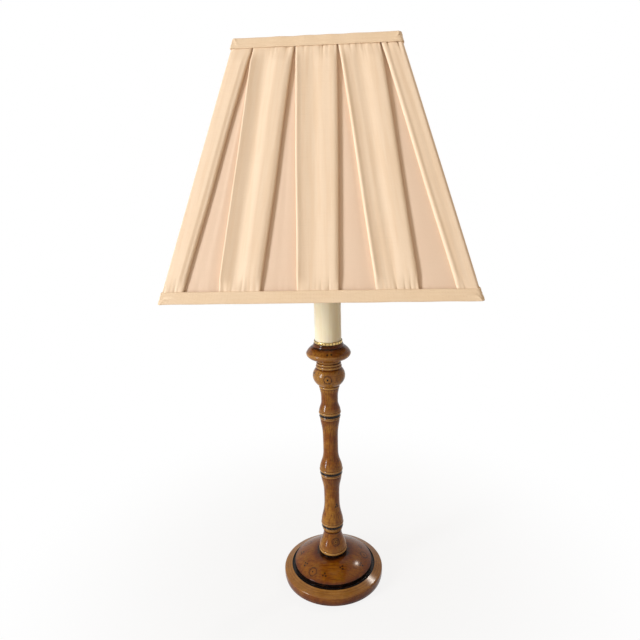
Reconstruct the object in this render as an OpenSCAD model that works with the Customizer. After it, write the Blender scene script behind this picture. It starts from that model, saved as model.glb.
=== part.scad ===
// Faux bamboo table lamp with a square box-pleated shade.
// The foot of the felt is at Z = 0, the rod is the Z axis, and the front of the lamp faces -Y.
// All sizes are in millimetres.

/* [Base] */
// Diameter over the rim of the base
base_d = 133; // [122:1:160]
// Height of the base, from the table to the seat of the stem
base_h = 34.5; // [30:0.5:45]
// Height of the straight outer edge of the rim
rim_edge_h = 11.5; // [11:0.5:14]
// Height of the rim beside the dark ring
rim_top_h = 17.5; // [16.5:0.5:20]
// Diameter of the domed top inside the dark ring
dome_d = 104; // [92:1:110]
// Height of the edge of the dome
dome_edge_h = 22; // [21:0.5:27]
// Width of the dark ring between the rim and the dome
ring_cut_w = 3.6; // [2:0.2:5]
// Thickness of the felt under the base
felt_t = 1.5; // [1:0.25:2]
// Thickness of the iron weight inside the base
weight_t = 7; // [4:0.5:8]
// Outer diameter of the iron weight
weight_d = 96; // [70:1:98]
// Radius of the cord hole through the bushing
cord_hole_r = 3; // [2.5:0.1:3.4]

/* [Stem] */
// Height of the vase that stands on the base
vase_h = 43.2; // [40:0.1:55]
// Radius of the lip at the foot of the vase
vase_lip_r = 18.7; // [17:0.1:22]
// Radius of the neck of the vase
vase_neck_r = 11.9; // [11:0.1:13]
// Height of the lower bamboo length
lower_h = 78.3; // [60:0.1:110]
// Radius of the lip of the lower bamboo length
lower_lip_r = 14.9; // [14:0.1:18]
// Radius of the waist of the lower bamboo length
lower_waist_r = 10.1; // [9:0.1:12]
// Height of the middle bamboo length
middle_h = 80; // [60:0.5:110]
// Radius of the lip of the middle bamboo length
middle_lip_r = 15.2; // [14:0.1:18]
// Radius of the waist of the middle bamboo length
middle_waist_r = 9.7; // [9:0.1:12]
// Height of the upper bamboo length with its ball
upper_h = 68.5; // [66:0.5:80]
// Radius of the lip of the upper bamboo length
upper_lip_r = 14.2; // [14:0.1:18]
// Radius of the waist of the upper bamboo length
upper_waist_r = 10.7; // [9:0.1:12]
// Radius of the ball
ball_r = 20.4; // [18:0.2:24]
// Height of the black groove at each bamboo node
groove_h = 2.6; // [1.5:0.1:3.4]
// Depth of the black groove at each bamboo node
groove_depth = 0.9; // [0.5:0.1:2]

/* [Candle] */
// Height of the turned candle cup
cup_h = 25; // [22:0.5:32]
// Radius of the rim of the candle cup
cup_rim_r = 27.8; // [27:0.2:34]
// Outer radius of the ivory candle sleeve
sleeve_r = 16.5; // [16:0.1:18]
// Length of the ivory candle sleeve
sleeve_len = 106; // [80:1:130]
// Wall of the candle sleeve
sleeve_wall = 1.6; // [1:0.1:2.5]
// Height of the brass ring round the foot of the sleeve
sleeve_ring_h = 3.9; // [3:0.1:6]

/* [Socket and bulb] */
// Outer radius of the brass socket shell
shell_r = 16.3; // [16.1:0.1:17.2]
// Length of the brass socket shell
shell_len = 43; // [40:0.5:50]
// Greatest radius of the bulb
bulb_r = 30; // [22:0.5:34]
// Height of the bulb's glass above its screw cap
bulb_glass_h = 83; // [70:1:92]
// Length of the switch knob, from its boss to its tip
knob_len = 18; // [15:0.5:24]

/* [Harp] */
// Height of the harp, from the saddle to the seat of the shade
harp_h = 203; // [196:0.5:230]
// Width of the harp between the centres of its wires
harp_w = 114; // [96:1:120]
// Radius of the harp wire
harp_wire_r = 1.9; // [1.4:0.1:2.2]
// Distance between the two pins of the saddle
saddle_w = 58; // [52:1:64]
// Length of the ferrule over each harp joint
ferrule_len = 14; // [12:0.5:16]
// Height of the finial
finial_h = 27; // [22:0.5:34]

/* [Shade] */
// Width of the shade along its bottom edge
shade_bottom_w = 305; // [280:1:330]
// Width of the shade along its top edge
shade_top_w = 160.4; // [150:0.2:180]
// Height of the shade
shade_h = 245; // [220:1:260]
// Drop of the spider below the top edge
spider_drop = 12.7; // [8:0.1:20]
// Number of open pleats on each side
pleats = 4; // [3:1:5]
// Depth of the open pleats
pleat_depth = 4; // [2:0.25:5]
// Thickness of the pleated cloth with its stiffening
cloth_t = 1; // [0.6:0.1:1.4]
// Height of the cloth band round the top edge
top_band_h = 9.8; // [6:0.2:16]
// Height of the cloth band round the bottom edge
bottom_band_h = 11.3; // [6:0.1:18]
// Thickness of the two bands
band_t = 0.8; // [0.4:0.1:1.2]
// Radius of the wires of the shade frame
frame_wire_r = 1.5; // [1:0.1:2]

/* [Hidden] */
$fn = 72;
steps = 14;
eps = 0.01;

// Clearances
wood_gap = 0.15;
seat_gap = 0.2;
wire_gap = 0.1;

// Rod and its hole
rod_r = 4.85;
rod_hole_r = 3.3;
wood_bore_r = rod_r + 0.3;
metal_bore_r = rod_r + 0.1;
rod_grip = 8;

// Nut, washer and their recess under the base
nut_h = 6;
nut_r = 8.4;
washer_t = 1.6;
washer_r = 14;
rod_end = 2.5;
recess_r = washer_r + 3;
recess_top = felt_t + 0.5 + rod_end + nut_h + washer_t;

// Iron weight, cord channel and bushing
weight_in_r = recess_r + 4;
cord_z = felt_t + 5.3;
bushing_r = cord_hole_r + 1;
bushing_flange_r = bushing_r + 0.8;
bushing_flange_t = 1.2;
bushing_len = 14;
channel_w = 9;

// Tenon on the top of each turned piece
tenon_r = 8;
tenon_h = 5;

// Heights of the seats, from the bottom up
vase_z = base_h;
lower_z = vase_z + vase_h;
middle_z = lower_z + lower_h;
upper_z = middle_z + middle_h;
cup_z = upper_z + upper_h;
ring_z = cup_z + cup_h;
ring_floor = 0.8;
sleeve_z = ring_z + ring_floor;
cap_z = sleeve_z + sleeve_len;
cap_t = 2.5;
saddle_z = cap_z + cap_t;
saddle_t = 2;
socket_z = saddle_z + saddle_t;
rod_top = socket_z + rod_grip;

// Rim of the base: radius of its rounded edge, and depth of the dark ring below the rim
rim_round = 2.4;
ring_depth = 2;

// Lip above each black groove, and the fillet and bead below it, parted by fine cut lines
lip_h = 3.4;
lip_proud = 1;
fillet_h = 1.8;
fillet_set_back = 0.5;
bead_h = 3;
bead_set_back = 1.2;
bead_proud = 0.7;
line_w = 0.25;

// Height of each waist, as a share of the length that it belongs to
vase_waist = 0.76;
lower_waist = 0.52;
middle_waist = 0.38;
upper_waist = 0.44;

// Groove and lip at the foot of the vase
vase_groove_h = 3.4;
vase_lip_h = 4;

// Ball and the two collar beads above it
ball_h = 23;
collar_h = 7.4;
collar_set_back = 4.1;
ball_neck_gain = 2.4;

// Candle cup: its neck, its widest height as a share of the whole, the two angles between which its
// upper slope is rounded, and the step from there up to the sleeve
cup_neck_r = 15;
cup_neck_h = 4;
cup_widest = 0.49;
cup_edge = 25;
cup_turn = 65;
cup_step_w = 2.9;
cup_step_h = 3.4;

// Socket heights above its seat
cap_skirt_h = 18;
shell_foot = 14;
shell_wall = 0.5;
liner_r = shell_r - shell_wall - 0.1;
liner_t = 0.6;
body_r = liner_r - liner_t - 0.2;
body_foot = 15;
body_top = 28;
switch_z = socket_z + 22;
flat_x = 13;
screw_r = 13.55;
screw_wall = 0.4;
screw_top = shell_foot + shell_len - 2;
contact_h = 3;
shaft_r = 1.6;
shaft_gap = 0.06;

// Bulb heights above the socket seat
bulb_tip_z = body_top + contact_h + 0.1;
bulb_cap_foot = bulb_tip_z + 5;
bulb_cap_top = screw_top + 2;
bulb_cap_r = screw_r - screw_wall - 0.2;
bulb_neck_r = bulb_cap_r - 0.4;
glass_t = 0.8;

// Harp, saddle and ferrule
saddle_width = 10;
saddle_bend = 6;
saddle_rim = 5;
pin_foot = 12;
pin_seat = 3;
pin_top = 22;
foot_gap = 0.3;
harp_foot = pin_top + foot_gap;
ferrule_foot = 16;
ferrule_travel = 10;
leg_top = ferrule_foot + ferrule_len + ferrule_travel + 1;
bulge_h = 95;
stud_body_r = 6.5;
stud_body_h = 7;
stud_r = 3.1;
stud_len = 13;
harp_top = harp_h - stud_body_h / 2;
shoulder_z = saddle_z + harp_h;

// Shade heights and layers
hub_t = 1.6;
hub_r = 13;
hub_z = shoulder_z + seat_gap;
shade_top = hub_z + hub_t + spider_drop;
shade_foot = shade_top - shade_h;
cover_set = band_t + 0.1;
cover_depth = cover_set + pleat_depth + cloth_t;
wire_in = cover_depth + 0.2 + frame_wire_r;
wire_edge = 2.5;
frame_bend = 3;
lining_in = wire_in + frame_wire_r + 0.2;
lining_t = 0.6;
rib_r = frame_wire_r * 0.85;
rib_in = lining_in - rib_r - 0.2;
lining_drop = 6;
panel_w = shade_top_w / pleats - 0.2;
finial_z = hub_z + hub_t + seat_gap;

// Smooth step from 0 to 1; a larger k stays near 0 for longer
function ease(u, k) = (1 - cos(180 * pow(u, k))) / 2;

// Profile that flares from radius r0 at height z0 to radius r1 at height z1
function flare(r0, z0, r1, z1, k) = [for (i = [0:steps])
    [r0 + (r1 - r0) * ease(i / steps, k), z0 + (z1 - z0) * i / steps]];

// The same points from last to first
function back_to_front(v) = [for (i = [len(v) - 1:-1:0]) v[i]];

// Elliptical arc about [r, z] with half-axes a and b, from angle a0 to angle a1
function arc(r, z, a, b, a0, a1, n = steps) = [for (i = [0:n])
    let (t = a0 + (a1 - a0) * i / n) [r + a * cos(t), z + b * sin(t)]];

// Half-round bead that ends at radius r, from height z0 to height z1, standing out by d
function bead(r, z0, z1, d) = arc(r, (z0 + z1) / 2, d, (z1 - z0) / 2, -90, 90, 8);

// Lip and lower flare of a bamboo length that starts at height 0; a larger k keeps the flare slim for longer
function bamboo_foot(lip_r, waist_r, waist_z, k) = concat(
    bead(lip_r - lip_proud, 0, lip_h, lip_proud),
    back_to_front(flare(waist_r, waist_z, lip_r - lip_proud / 2, lip_h + line_w, k)));

// Upper flare, bead, fillet and black groove of a bamboo length that ends at height h
function bamboo_head(waist_r, waist_z, next_lip_r, h, k) =
    let (fillet_z = h - groove_h - fillet_h, bead_z = fillet_z - bead_h,
        bead_r = next_lip_r - bead_set_back - bead_proud, fillet_r = next_lip_r - 2 * fillet_set_back)
    concat(
        flare(waist_r, waist_z, bead_r + bead_proud / 4, bead_z, k),
        bead(bead_r, bead_z + line_w, fillet_z, bead_proud),
        bead(fillet_r, fillet_z + line_w, fillet_z + fillet_h, fillet_set_back),
        [[next_lip_r - groove_depth, h - groove_h], [next_lip_r - groove_depth, h]]);

// Turned piece from its outer profile, with the rod bore, a tenon on top and a recess below
module turned(profile, h, tenon = true) {
    difference() {
        rotate_extrude()
            polygon(concat([[wood_bore_r, 0]], profile,
                tenon ? [[tenon_r, h], [tenon_r, h + tenon_h]] : [],
                [[wood_bore_r, tenon ? h + tenon_h : h]]));
        translate([0, 0, -1])
            cylinder(r = tenon_r + wood_gap, h = tenon_h + 1.3);
    }
}

// Tube between two radii
module tube(outer, inner, h) {
    difference() {
        cylinder(r = outer, h = h);
        translate([0, 0, -1])
            cylinder(r = inner, h = h + 2);
    }
}

// Outer half-width of the shade at height z
function half_w(z) = shade_bottom_w / 2
    + (shade_top_w - shade_bottom_w) / 2 * (z - shade_foot) / shade_h;

module base_felt() {
    color("darkgreen")
        cylinder(r = base_d / 2 - 4, h = felt_t);
}

module base_weight() {
    color("dimgray")
        translate([0, 0, felt_t])
            difference() {
                tube(weight_d / 2, weight_in_r, weight_t);
                translate([-channel_w / 2, 0, -1])
                    cube([channel_w, weight_d, weight_t + 2]);
            }
}

module base_disc() {
    rim_r = base_d / 2;
    dome_r = dome_d / 2;
    cut_r = dome_r + ring_cut_w;
    seat_r = vase_lip_r + 0.6;
    edge_r = rim_r - rim_round;
    dome = [for (i = [0:2 * steps]) let (u = i / (2 * steps))
        [seat_r + (dome_r - seat_r) * u, dome_edge_h + (base_h - dome_edge_h) * (1 - pow(u, 1.8))]];
    profile = concat(
        [[wood_bore_r, felt_t], [wood_bore_r, base_h + tenon_h], [tenon_r, base_h + tenon_h],
         [tenon_r, base_h]],
        dome,
        [[dome_r, rim_top_h - ring_depth], [cut_r, rim_top_h - ring_depth], [cut_r, rim_top_h]],
        back_to_front(arc(edge_r, rim_edge_h, rim_round, rim_round, 0, 68)),
        [[rim_r, felt_t + 4], [rim_r - 0.9, felt_t]]);
    color("peru")
        difference() {
            rotate_extrude()
                polygon(profile);
            translate([0, 0, -1])
                cylinder(r = recess_r, h = recess_top + 1);
            translate([0, 0, felt_t - 1])
                tube(weight_d / 2 + wood_gap, weight_in_r - wood_gap, weight_t + 1.1);
            translate([-channel_w / 2, recess_r - 2, felt_t - 1])
                cube([channel_w, rim_r - bushing_len - recess_r + 3, cord_z + 3]);
            translate([0, rim_r - bushing_len - 1, cord_z])
                rotate([-90, 0, 0])
                    cylinder(r = bushing_r + wood_gap, h = bushing_len + 2);
            translate([0, rim_r - bushing_flange_t, cord_z])
                rotate([-90, 0, 0])
                    cylinder(r = bushing_flange_r + wood_gap, h = bushing_flange_t + 1);
        }
}

module cord_bushing() {
    color("saddlebrown")
        translate([0, base_d / 2 - bushing_len, cord_z])
            rotate([-90, 0, 0])
                difference() {
                    union() {
                        cylinder(r = bushing_r, h = bushing_len);
                        translate([0, 0, bushing_len - bushing_flange_t])
                            cylinder(r = bushing_flange_r, h = bushing_flange_t);
                    }
                    translate([0, 0, -1])
                        cylinder(r = cord_hole_r, h = bushing_len + 2);
                }
}

module rod_washer() {
    color("silver")
        translate([0, 0, recess_top - washer_t])
            tube(washer_r, metal_bore_r, washer_t);
}

module rod_nut() {
    color("silver")
        translate([0, 0, recess_top - washer_t - nut_h])
            difference() {
                cylinder(r = nut_r, h = nut_h, $fn = 6);
                translate([0, 0, -1])
                    cylinder(r = metal_bore_r, h = nut_h + 2);
            }
}

module threaded_rod() {
    foot = recess_top - washer_t - nut_h - rod_end;
    color("silver")
        translate([0, 0, foot])
            tube(rod_r, rod_hole_r, rod_top - foot);
}

module foot_vase() {
    groove_r = vase_lip_r - groove_depth;
    belly_z = vase_groove_h + vase_lip_h;
    neck_z = vase_h * vase_waist;
    color("peru")
        translate([0, 0, vase_z])
            turned(concat(
                [[groove_r, 0], [groove_r, vase_groove_h]],
                bead(vase_lip_r - lip_proud, vase_groove_h, belly_z, lip_proud),
                back_to_front(flare(vase_neck_r, neck_z, vase_lip_r - lip_proud / 2, belly_z + line_w, 1.1)),
                bamboo_head(vase_neck_r, neck_z, lower_lip_r, vase_h, 1)), vase_h);
}

module lower_section() {
    waist_z = lower_h * lower_waist;
    color("peru")
        translate([0, 0, lower_z])
            turned(concat(bamboo_foot(lower_lip_r, lower_waist_r, waist_z, 1.75),
                bamboo_head(lower_waist_r, waist_z, middle_lip_r, lower_h, 1.7)), lower_h);
}

module middle_section() {
    waist_z = middle_h * middle_waist;
    color("peru")
        translate([0, 0, middle_z])
            turned(concat(bamboo_foot(middle_lip_r, middle_waist_r, waist_z, 1.45),
                bamboo_head(middle_waist_r, waist_z, upper_lip_r, middle_h, 2.7)), middle_h);
}

module upper_section() {
    collar_r = ball_r - collar_set_back;
    collar_bead_h = collar_h / 2;
    ball_foot = upper_h - collar_h - ball_h;
    ball_mid = ball_foot + ball_h * 0.56;
    neck_r = upper_waist_r + ball_neck_gain;
    neck_bead_z = ball_foot - bead_h - 2 * line_w;
    waist_z = ball_foot * upper_waist;
    color("peru")
        translate([0, 0, upper_z])
            turned(concat(bamboo_foot(upper_lip_r, upper_waist_r, waist_z, 1.1),
                flare(upper_waist_r, waist_z, neck_r - bead_proud, neck_bead_z, 2.2),
                bead(neck_r - bead_proud, neck_bead_z + line_w, ball_foot - line_w, bead_proud),
                [[neck_r - bead_proud, ball_foot]],
                arc(0, ball_mid, ball_r, ball_h * 0.72, -50, 37, 24),
                bead(collar_r - bead_proud, upper_h - collar_h + line_w, upper_h - collar_bead_h, bead_proud),
                bead(collar_r - 2 * bead_proud, upper_h - collar_bead_h + line_w, upper_h - line_w, bead_proud),
                [[collar_r - 2 * bead_proud, upper_h]]), upper_h);
}

module candle_cup() {
    neck_r = cup_neck_r - bead_proud;
    under_z = cup_h * cup_widest - line_w;
    over_z = cup_h * cup_widest + line_w;
    step_r = sleeve_r + cup_step_w;
    step_z = cup_h - cup_step_h;
    slope_w = (cup_rim_r - step_r) / (cos(cup_edge) - cos(cup_turn));
    slope_h = (step_z - line_w - over_z) / (sin(cup_turn) - sin(cup_edge));
    slope_r = cup_rim_r - slope_w * cos(cup_edge);
    slope_z = over_z - slope_h * sin(cup_edge);
    color("peru")
        translate([0, 0, cup_z])
            turned(concat(
                bead(neck_r, line_w, cup_neck_h - line_w, bead_proud),
                arc(neck_r, under_z, cup_rim_r - neck_r, under_z - cup_neck_h, -88, 0),
                arc(slope_r, slope_z, slope_w, slope_h, cup_edge, cup_turn),
                back_to_front(flare(sleeve_r + 1.6, cup_h, step_r, step_z, 1))), cup_h, false);
}

module sleeve_ring() {
    rim_in = sleeve_r + wood_gap;
    color("gold")
        translate([0, 0, ring_z])
            rotate_extrude()
                polygon(concat([[metal_bore_r, 0], [rim_in + 0.5, 0]],
                    bead(rim_in + 0.5, 0.2, sleeve_ring_h, 0.5),
                    [[rim_in, sleeve_ring_h], [rim_in, ring_floor], [metal_bore_r, ring_floor]]));
}

module candle_sleeve() {
    color("ivory")
        translate([0, 0, sleeve_z])
            tube(sleeve_r, sleeve_r - sleeve_wall, sleeve_len);
}

module sleeve_cap() {
    plug_r = sleeve_r - sleeve_wall - wood_gap;
    color("gold")
        translate([0, 0, cap_z])
            rotate_extrude()
                polygon([[metal_bore_r, -2], [plug_r, -2], [plug_r, 0], [sleeve_r + 0.8, 0],
                    [sleeve_r + 0.8, cap_t * 0.5], [sleeve_r - 0.6, cap_t], [metal_bore_r, cap_t]]);
}

// Half of the saddle strip in outline, from the rod to the top of its arm
module saddle_outline() {
    arm_x = saddle_w / 2;
    square([arm_x + saddle_t / 2 - saddle_bend, saddle_t]);
    translate([arm_x - saddle_t / 2, saddle_bend])
        square([saddle_t, pin_foot - saddle_bend]);
    translate([arm_x + saddle_t / 2 - saddle_bend, saddle_bend])
        intersection() {
            difference() {
                circle(r = saddle_bend);
                circle(r = saddle_bend - saddle_t);
            }
            translate([0, -saddle_bend])
                square([saddle_bend, saddle_bend]);
        }
}

module harp_saddle() {
    color("goldenrod")
        translate([0, 0, saddle_z])
            difference() {
                union() {
                    for (side = [0, 1])
                        mirror([side, 0, 0]) {
                            translate([0, saddle_width / 2, 0])
                                rotate([90, 0, 0])
                                    linear_extrude(saddle_width)
                                        saddle_outline();
                            translate([saddle_w / 2, 0, pin_foot - pin_seat])
                                cylinder(r = harp_wire_r, h = pin_top - pin_foot + pin_seat);
                        }
                    cylinder(r = rod_r + saddle_rim, h = saddle_t);
                }
                translate([0, 0, -1])
                    cylinder(r = metal_bore_r, h = saddle_t + 2);
            }
}

module socket_cap() {
    skirt_in = shell_r + 0.15;
    wall = 0.55;
    color("gold")
        translate([0, 0, socket_z])
            rotate_extrude()
                polygon(concat(
                    [[metal_bore_r, 0], [7.2, 0], [7.2, 4]],
                    flare(8, 4.5, skirt_in + wall, shell_foot - 0.5, 0.8),
                    [[skirt_in + wall, cap_skirt_h], [skirt_in, cap_skirt_h]],
                    back_to_front(flare(7.4, 6, skirt_in, shell_foot, 0.8)),
                    [[metal_bore_r, 6]]));
}

module socket_shell() {
    inner = shell_r - shell_wall;
    color("gold")
        translate([0, 0, socket_z])
            difference() {
                rotate_extrude()
                    polygon(concat([[inner, shell_foot + 0.2], [shell_r, shell_foot + 0.2]],
                        [[shell_r, shell_foot + shell_len - 3]],
                        bead(shell_r, shell_foot + shell_len - 2.5, shell_foot + shell_len - 0.5, 0.7),
                        [[shell_r, shell_foot + shell_len], [inner, shell_foot + shell_len]]));
                translate([0, 0, switch_z - socket_z])
                    rotate([90, 0, 0])
                        cylinder(r = shaft_r + 0.6, h = shell_r + 2);
            }
}

module socket_liner() {
    color("tan")
        translate([0, 0, socket_z])
            difference() {
                translate([0, 0, shell_foot + 1])
                    tube(liner_r, liner_r - liner_t, shell_len - 2);
                translate([0, 0, switch_z - socket_z])
                    rotate([90, 0, 0])
                        cylinder(r = shaft_r + 0.8, h = shell_r + 2);
            }
}

module socket_body() {
    color([0.13, 0.1, 0.09])
        translate([0, 0, socket_z])
            difference() {
                intersection() {
                    translate([0, 0, body_foot])
                        cylinder(r = body_r, h = body_top - body_foot);
                    translate([-flat_x, -body_r, body_foot])
                        cube([2 * flat_x, 2 * body_r, body_top - body_foot]);
                }
                translate([0, 0, switch_z - socket_z])
                    rotate([90, 0, 0])
                        cylinder(r = shaft_r + shaft_gap, h = body_r + 1);
                for (side = [-1, 1])
                    translate([side * (flat_x - 3), 0, body_foot + 7])
                        rotate([0, 90, 0])
                            cylinder(r = 1.5, h = 8, center = true);
            }
}

module screw_shell() {
    color("gold")
        translate([0, 0, socket_z + body_top])
            difference() {
                cylinder(r = screw_r, h = screw_top - body_top);
                translate([0, 0, 0.5])
                    cylinder(r = screw_r - screw_wall, h = screw_top - body_top);
                translate([0, 0, -1])
                    cylinder(r = 8, h = 3);
            }
}

module centre_contact() {
    color("gold")
        translate([0, 0, socket_z + body_top])
            rotate_extrude()
                polygon([[0, 0], [5, 0], [5, 0.8], [3.6, 1], [3, contact_h], [0, contact_h]]);
}

module terminal_screws() {
    color("gold")
        for (side = [0, 1])
            mirror([side, 0, 0])
                translate([flat_x, 0, socket_z + body_foot + 7])
                    rotate([0, 90, 0]) {
                        translate([0, 0, -5])
                            cylinder(r = 1.45, h = 5 + eps);
                        difference() {
                            cylinder(r = 2.4, h = 1.3);
                            translate([-0.35, -3, 0.7])
                                cube([0.7, 6, 2]);
                        }
                    }
}

module switch_shaft() {
    color("gold")
        translate([0, -4, switch_z])
            rotate([90, 0, 0])
                cylinder(r = shaft_r, h = shell_r + 8);
}

module switch_knob() {
    boss_h = 7;
    paddle_w = 15;
    paddle_t = 4.6;
    tip_r = 4;
    color("saddlebrown")
        translate([0, -shell_r - 2.5, switch_z])
            rotate([90, 0, 0])
                difference() {
                    union() {
                        cylinder(r1 = 4.6, r2 = 3.8, h = boss_h);
                        intersection() {
                            rotate([90, 0, 0])
                                translate([0, 0, -paddle_t / 2])
                                    linear_extrude(paddle_t)
                                        hull() {
                                            translate([0, boss_h - 2])
                                                square([5, 1], center = true);
                                            for (side = [-1, 1])
                                                translate([side * (paddle_w / 2 - tip_r), knob_len - tip_r])
                                                    circle(r = tip_r, $fn = 32);
                                        }
                            cylinder(r = paddle_w, h = knob_len);
                        }
                    }
                    translate([0, 0, -1])
                        cylinder(r = shaft_r + shaft_gap, h = 10.9);
                }
}

module bulb_contact() {
    color("silver")
        translate([0, 0, socket_z + bulb_tip_z])
            rotate_extrude()
                polygon([[0, 0], [2.6, 0.3], [4.4, 1.2], [4.4, 1.8], [0, 1.8]]);
}

module bulb_insulator() {
    color("black")
        translate([0, 0, socket_z + bulb_tip_z + 1.8])
            rotate_extrude()
                polygon([[0, 0], [5, 0], [9, 3.2], [0, 3.2]]);
}

module bulb_cap() {
    foot = bulb_cap_foot;
    color("silver")
        translate([0, 0, socket_z])
            rotate_extrude()
                polygon([[0, foot], [9, foot], [bulb_cap_r, foot + 3], [bulb_cap_r, bulb_cap_top],
                    [bulb_cap_r - 0.3, bulb_cap_top], [bulb_cap_r - 0.3, foot + 4], [8, foot + 1],
                    [0, foot + 1]]);
}

// Outer profile of the glass, shrunk by t to give its inner face
function glass_profile(t) = concat(
    flare(bulb_neck_r - t, t, bulb_r - t, bulb_glass_h - bulb_r, 1),
    arc(0, bulb_glass_h - bulb_r, bulb_r - t, bulb_r - t, 4, 90, 20));

module bulb_glass() {
    color("white")
        translate([0, 0, socket_z + bulb_cap_top])
            difference() {
                rotate_extrude()
                    polygon(concat([[0, 0], [bulb_neck_r, 0]], glass_profile(0)));
                rotate_extrude()
                    polygon(concat([[0, glass_t]], glass_profile(glass_t)));
            }
}

module bulb_stem() {
    color("whitesmoke")
        translate([0, 0, socket_z + bulb_cap_top + glass_t])
            cylinder(r1 = 6, r2 = 2, h = 28);
}

module bulb_filament() {
    arm_h = bulb_glass_h * 0.6;
    spread = 10;
    wire_r = 0.4;
    color("gray")
        translate([0, 0, socket_z + bulb_cap_top + glass_t + 28]) {
            for (side = [-1, 1])
                hull() {
                    translate([side * 1.2, 0, 0])
                        cylinder(r = wire_r, h = 0.5, $fn = 8);
                    translate([side * spread, 0, arm_h - 28])
                        cylinder(r = wire_r, h = 0.5, $fn = 8);
                }
            translate([-spread, 0, arm_h - 28 + 0.2])
                rotate([0, 90, 0])
                    cylinder(r = 0.6, h = 2 * spread);
        }
}

// Centre line of half the harp, from its foot to the stud, above the saddle
function harp_half() = let (foot_x = saddle_w / 2, side_x = harp_w / 2, run = stud_body_r + 1) concat(
    [[foot_x, 0, harp_foot]],
    [for (i = [0:10]) let (u = i / 10)
        [foot_x + (side_x - foot_x) * ease(u, 1), 0, leg_top + (bulge_h - leg_top) * u]],
    [for (i = [1:18]) let (t = 90 * i / 18)
        [run + (side_x - run) * cos(t), 0, bulge_h + (harp_top - bulge_h) * sin(t)]]);

// Round wire along a flat path; normal is the direction square to the path's plane
module wire(path, normal, r, sides, closed = false) {
    n = len(path);
    loops = closed ? n : n - 1;
    function direction(i) = let (a = closed ? path[(i + n - 1) % n] : path[max(i - 1, 0)],
        b = closed ? path[(i + 1) % n] : path[min(i + 1, n - 1)], d = b - a) d / norm(d);
    points = [for (i = [0:n - 1]) let (side = cross(direction(i), normal))
        for (j = [0:sides - 1]) let (t = 360 * j / sides)
            path[i] + r * cos(t) * side + r * sin(t) * normal];
    walls = [for (i = [0:loops - 1]) for (j = [0:sides - 1])
        let (a = i * sides + j, b = i * sides + (j + 1) % sides,
            c = ((i + 1) % n) * sides + (j + 1) % sides, d = ((i + 1) % n) * sides + j)
            each [[a, c, b], [a, d, c]]];
    foot = [for (j = [1:sides - 2]) [0, j, j + 1]];
    head = [for (j = [1:sides - 2]) [(n - 1) * sides, (n - 1) * sides + j + 1, (n - 1) * sides + j]];
    polyhedron(points, closed ? walls : concat(walls, foot, head));
}

module harp_wire() {
    half = harp_half();
    other = [for (p = half) [-p[0], 0, p[2]]];
    color("goldenrod")
        translate([0, 0, saddle_z])
            wire(concat(half, back_to_front(other)), [0, 1, 0], harp_wire_r, 12);
}

module harp_stud() {
    color("goldenrod")
        translate([0, 0, saddle_z])
            difference() {
                union() {
                    translate([0, 0, harp_h - stud_body_h])
                        cylinder(r = stud_body_r, h = stud_body_h);
                    translate([0, 0, harp_h - eps])
                        cylinder(r = stud_r, h = stud_len);
                }
                translate([0, 0, harp_top])
                    rotate([0, 90, 0])
                        cylinder(r = harp_wire_r + 0.05, h = 4 * stud_body_r, center = true);
            }
}

// Ferrule that slides over the joint of harp and saddle, on the given side
module ferrule(side) {
    color("gold")
        translate([side * saddle_w / 2, 0, saddle_z + ferrule_foot])
            rotate_extrude()
                polygon(concat([[harp_wire_r + 0.15, 0], [harp_wire_r + 1, 0]],
                    bead(harp_wire_r + 1, 0.5, 2.5, 0.5),
                    [[harp_wire_r + 1, ferrule_len], [harp_wire_r + 0.15, ferrule_len]]));
}

module ferrule_left() {
    ferrule(-1);
}

module ferrule_right() {
    ferrule(1);
}

module finial() {
    foot_r = 6.4;
    ball = finial_h * 0.3;
    color("gold")
        translate([0, 0, finial_z])
            difference() {
                rotate_extrude()
                    polygon(concat([[0, 0], [foot_r, 0]],
                        bead(foot_r, 0.2, 2.6, 0.6),
                        back_to_front(flare(4.8, finial_h * 0.36, foot_r - 0.6, 2.8, 1.2)),
                        arc(0, finial_h * 0.36 + ball * 0.85, ball, ball, -52, 66, 16),
                        arc(0, finial_h - 1.9, 1.9, 1.9, -50, 90, 8)));
                translate([0, 0, -1])
                    cylinder(r = stud_r + 0.1, h = stud_len - hub_t - 2 * seat_gap + 1.8);
            }
}

// Straight round wire between two points, cut square at both ends
module rod_between(a, b, r) {
    d = b - a;
    translate(a)
        rotate([0, acos(d[2] / norm(d)), atan2(d[1], d[0])])
            cylinder(r = r, h = norm(d), $fn = 24);
}

module spider() {
    arm_z = hub_z + hub_t / 2;
    ring_z = shade_top - wire_edge;
    ring_x = half_w(ring_z) - wire_in;
    end_x = ring_x - 2 * frame_wire_r - wire_gap;
    knee_x = end_x - (ring_z - arm_z);
    color("goldenrod") {
        translate([0, 0, hub_z])
            tube(hub_r, stud_r + 0.15, hub_t);
        for (turn = [0:90:270])
            rotate([0, 0, turn])
                difference() {
                    union() {
                        rod_between([hub_r - 3, 0, arm_z], [knee_x, 0, arm_z], frame_wire_r);
                        translate([knee_x, 0, arm_z])
                            sphere(r = frame_wire_r, $fn = 24);
                        rod_between([knee_x, 0, arm_z], [end_x, 0, ring_z], frame_wire_r);
                        translate([end_x, 0, ring_z])
                            sphere(r = frame_wire_r, $fn = 24);
                    }
                    cylinder(r = hub_r - 2, h = 2 * ring_z);
                }
    }
}

// Square ring of wire with bent corners, its centre line at half-width x and height z
module square_ring(x, z) {
    c = x - frame_bend;
    corners = [[c, c], [-c, c], [-c, -c], [c, -c]];
    path = [for (i = [0:3]) for (t = [0:18:90])
        [corners[i][0] + frame_bend * cos(90 * i + t), corners[i][1] + frame_bend * sin(90 * i + t), z]];
    wire(path, [0, 0, 1], frame_wire_r, 12, closed = true);
}

module top_frame() {
    z = shade_top - wire_edge;
    color("goldenrod")
        square_ring(half_w(z) - wire_in, z);
}

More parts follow.
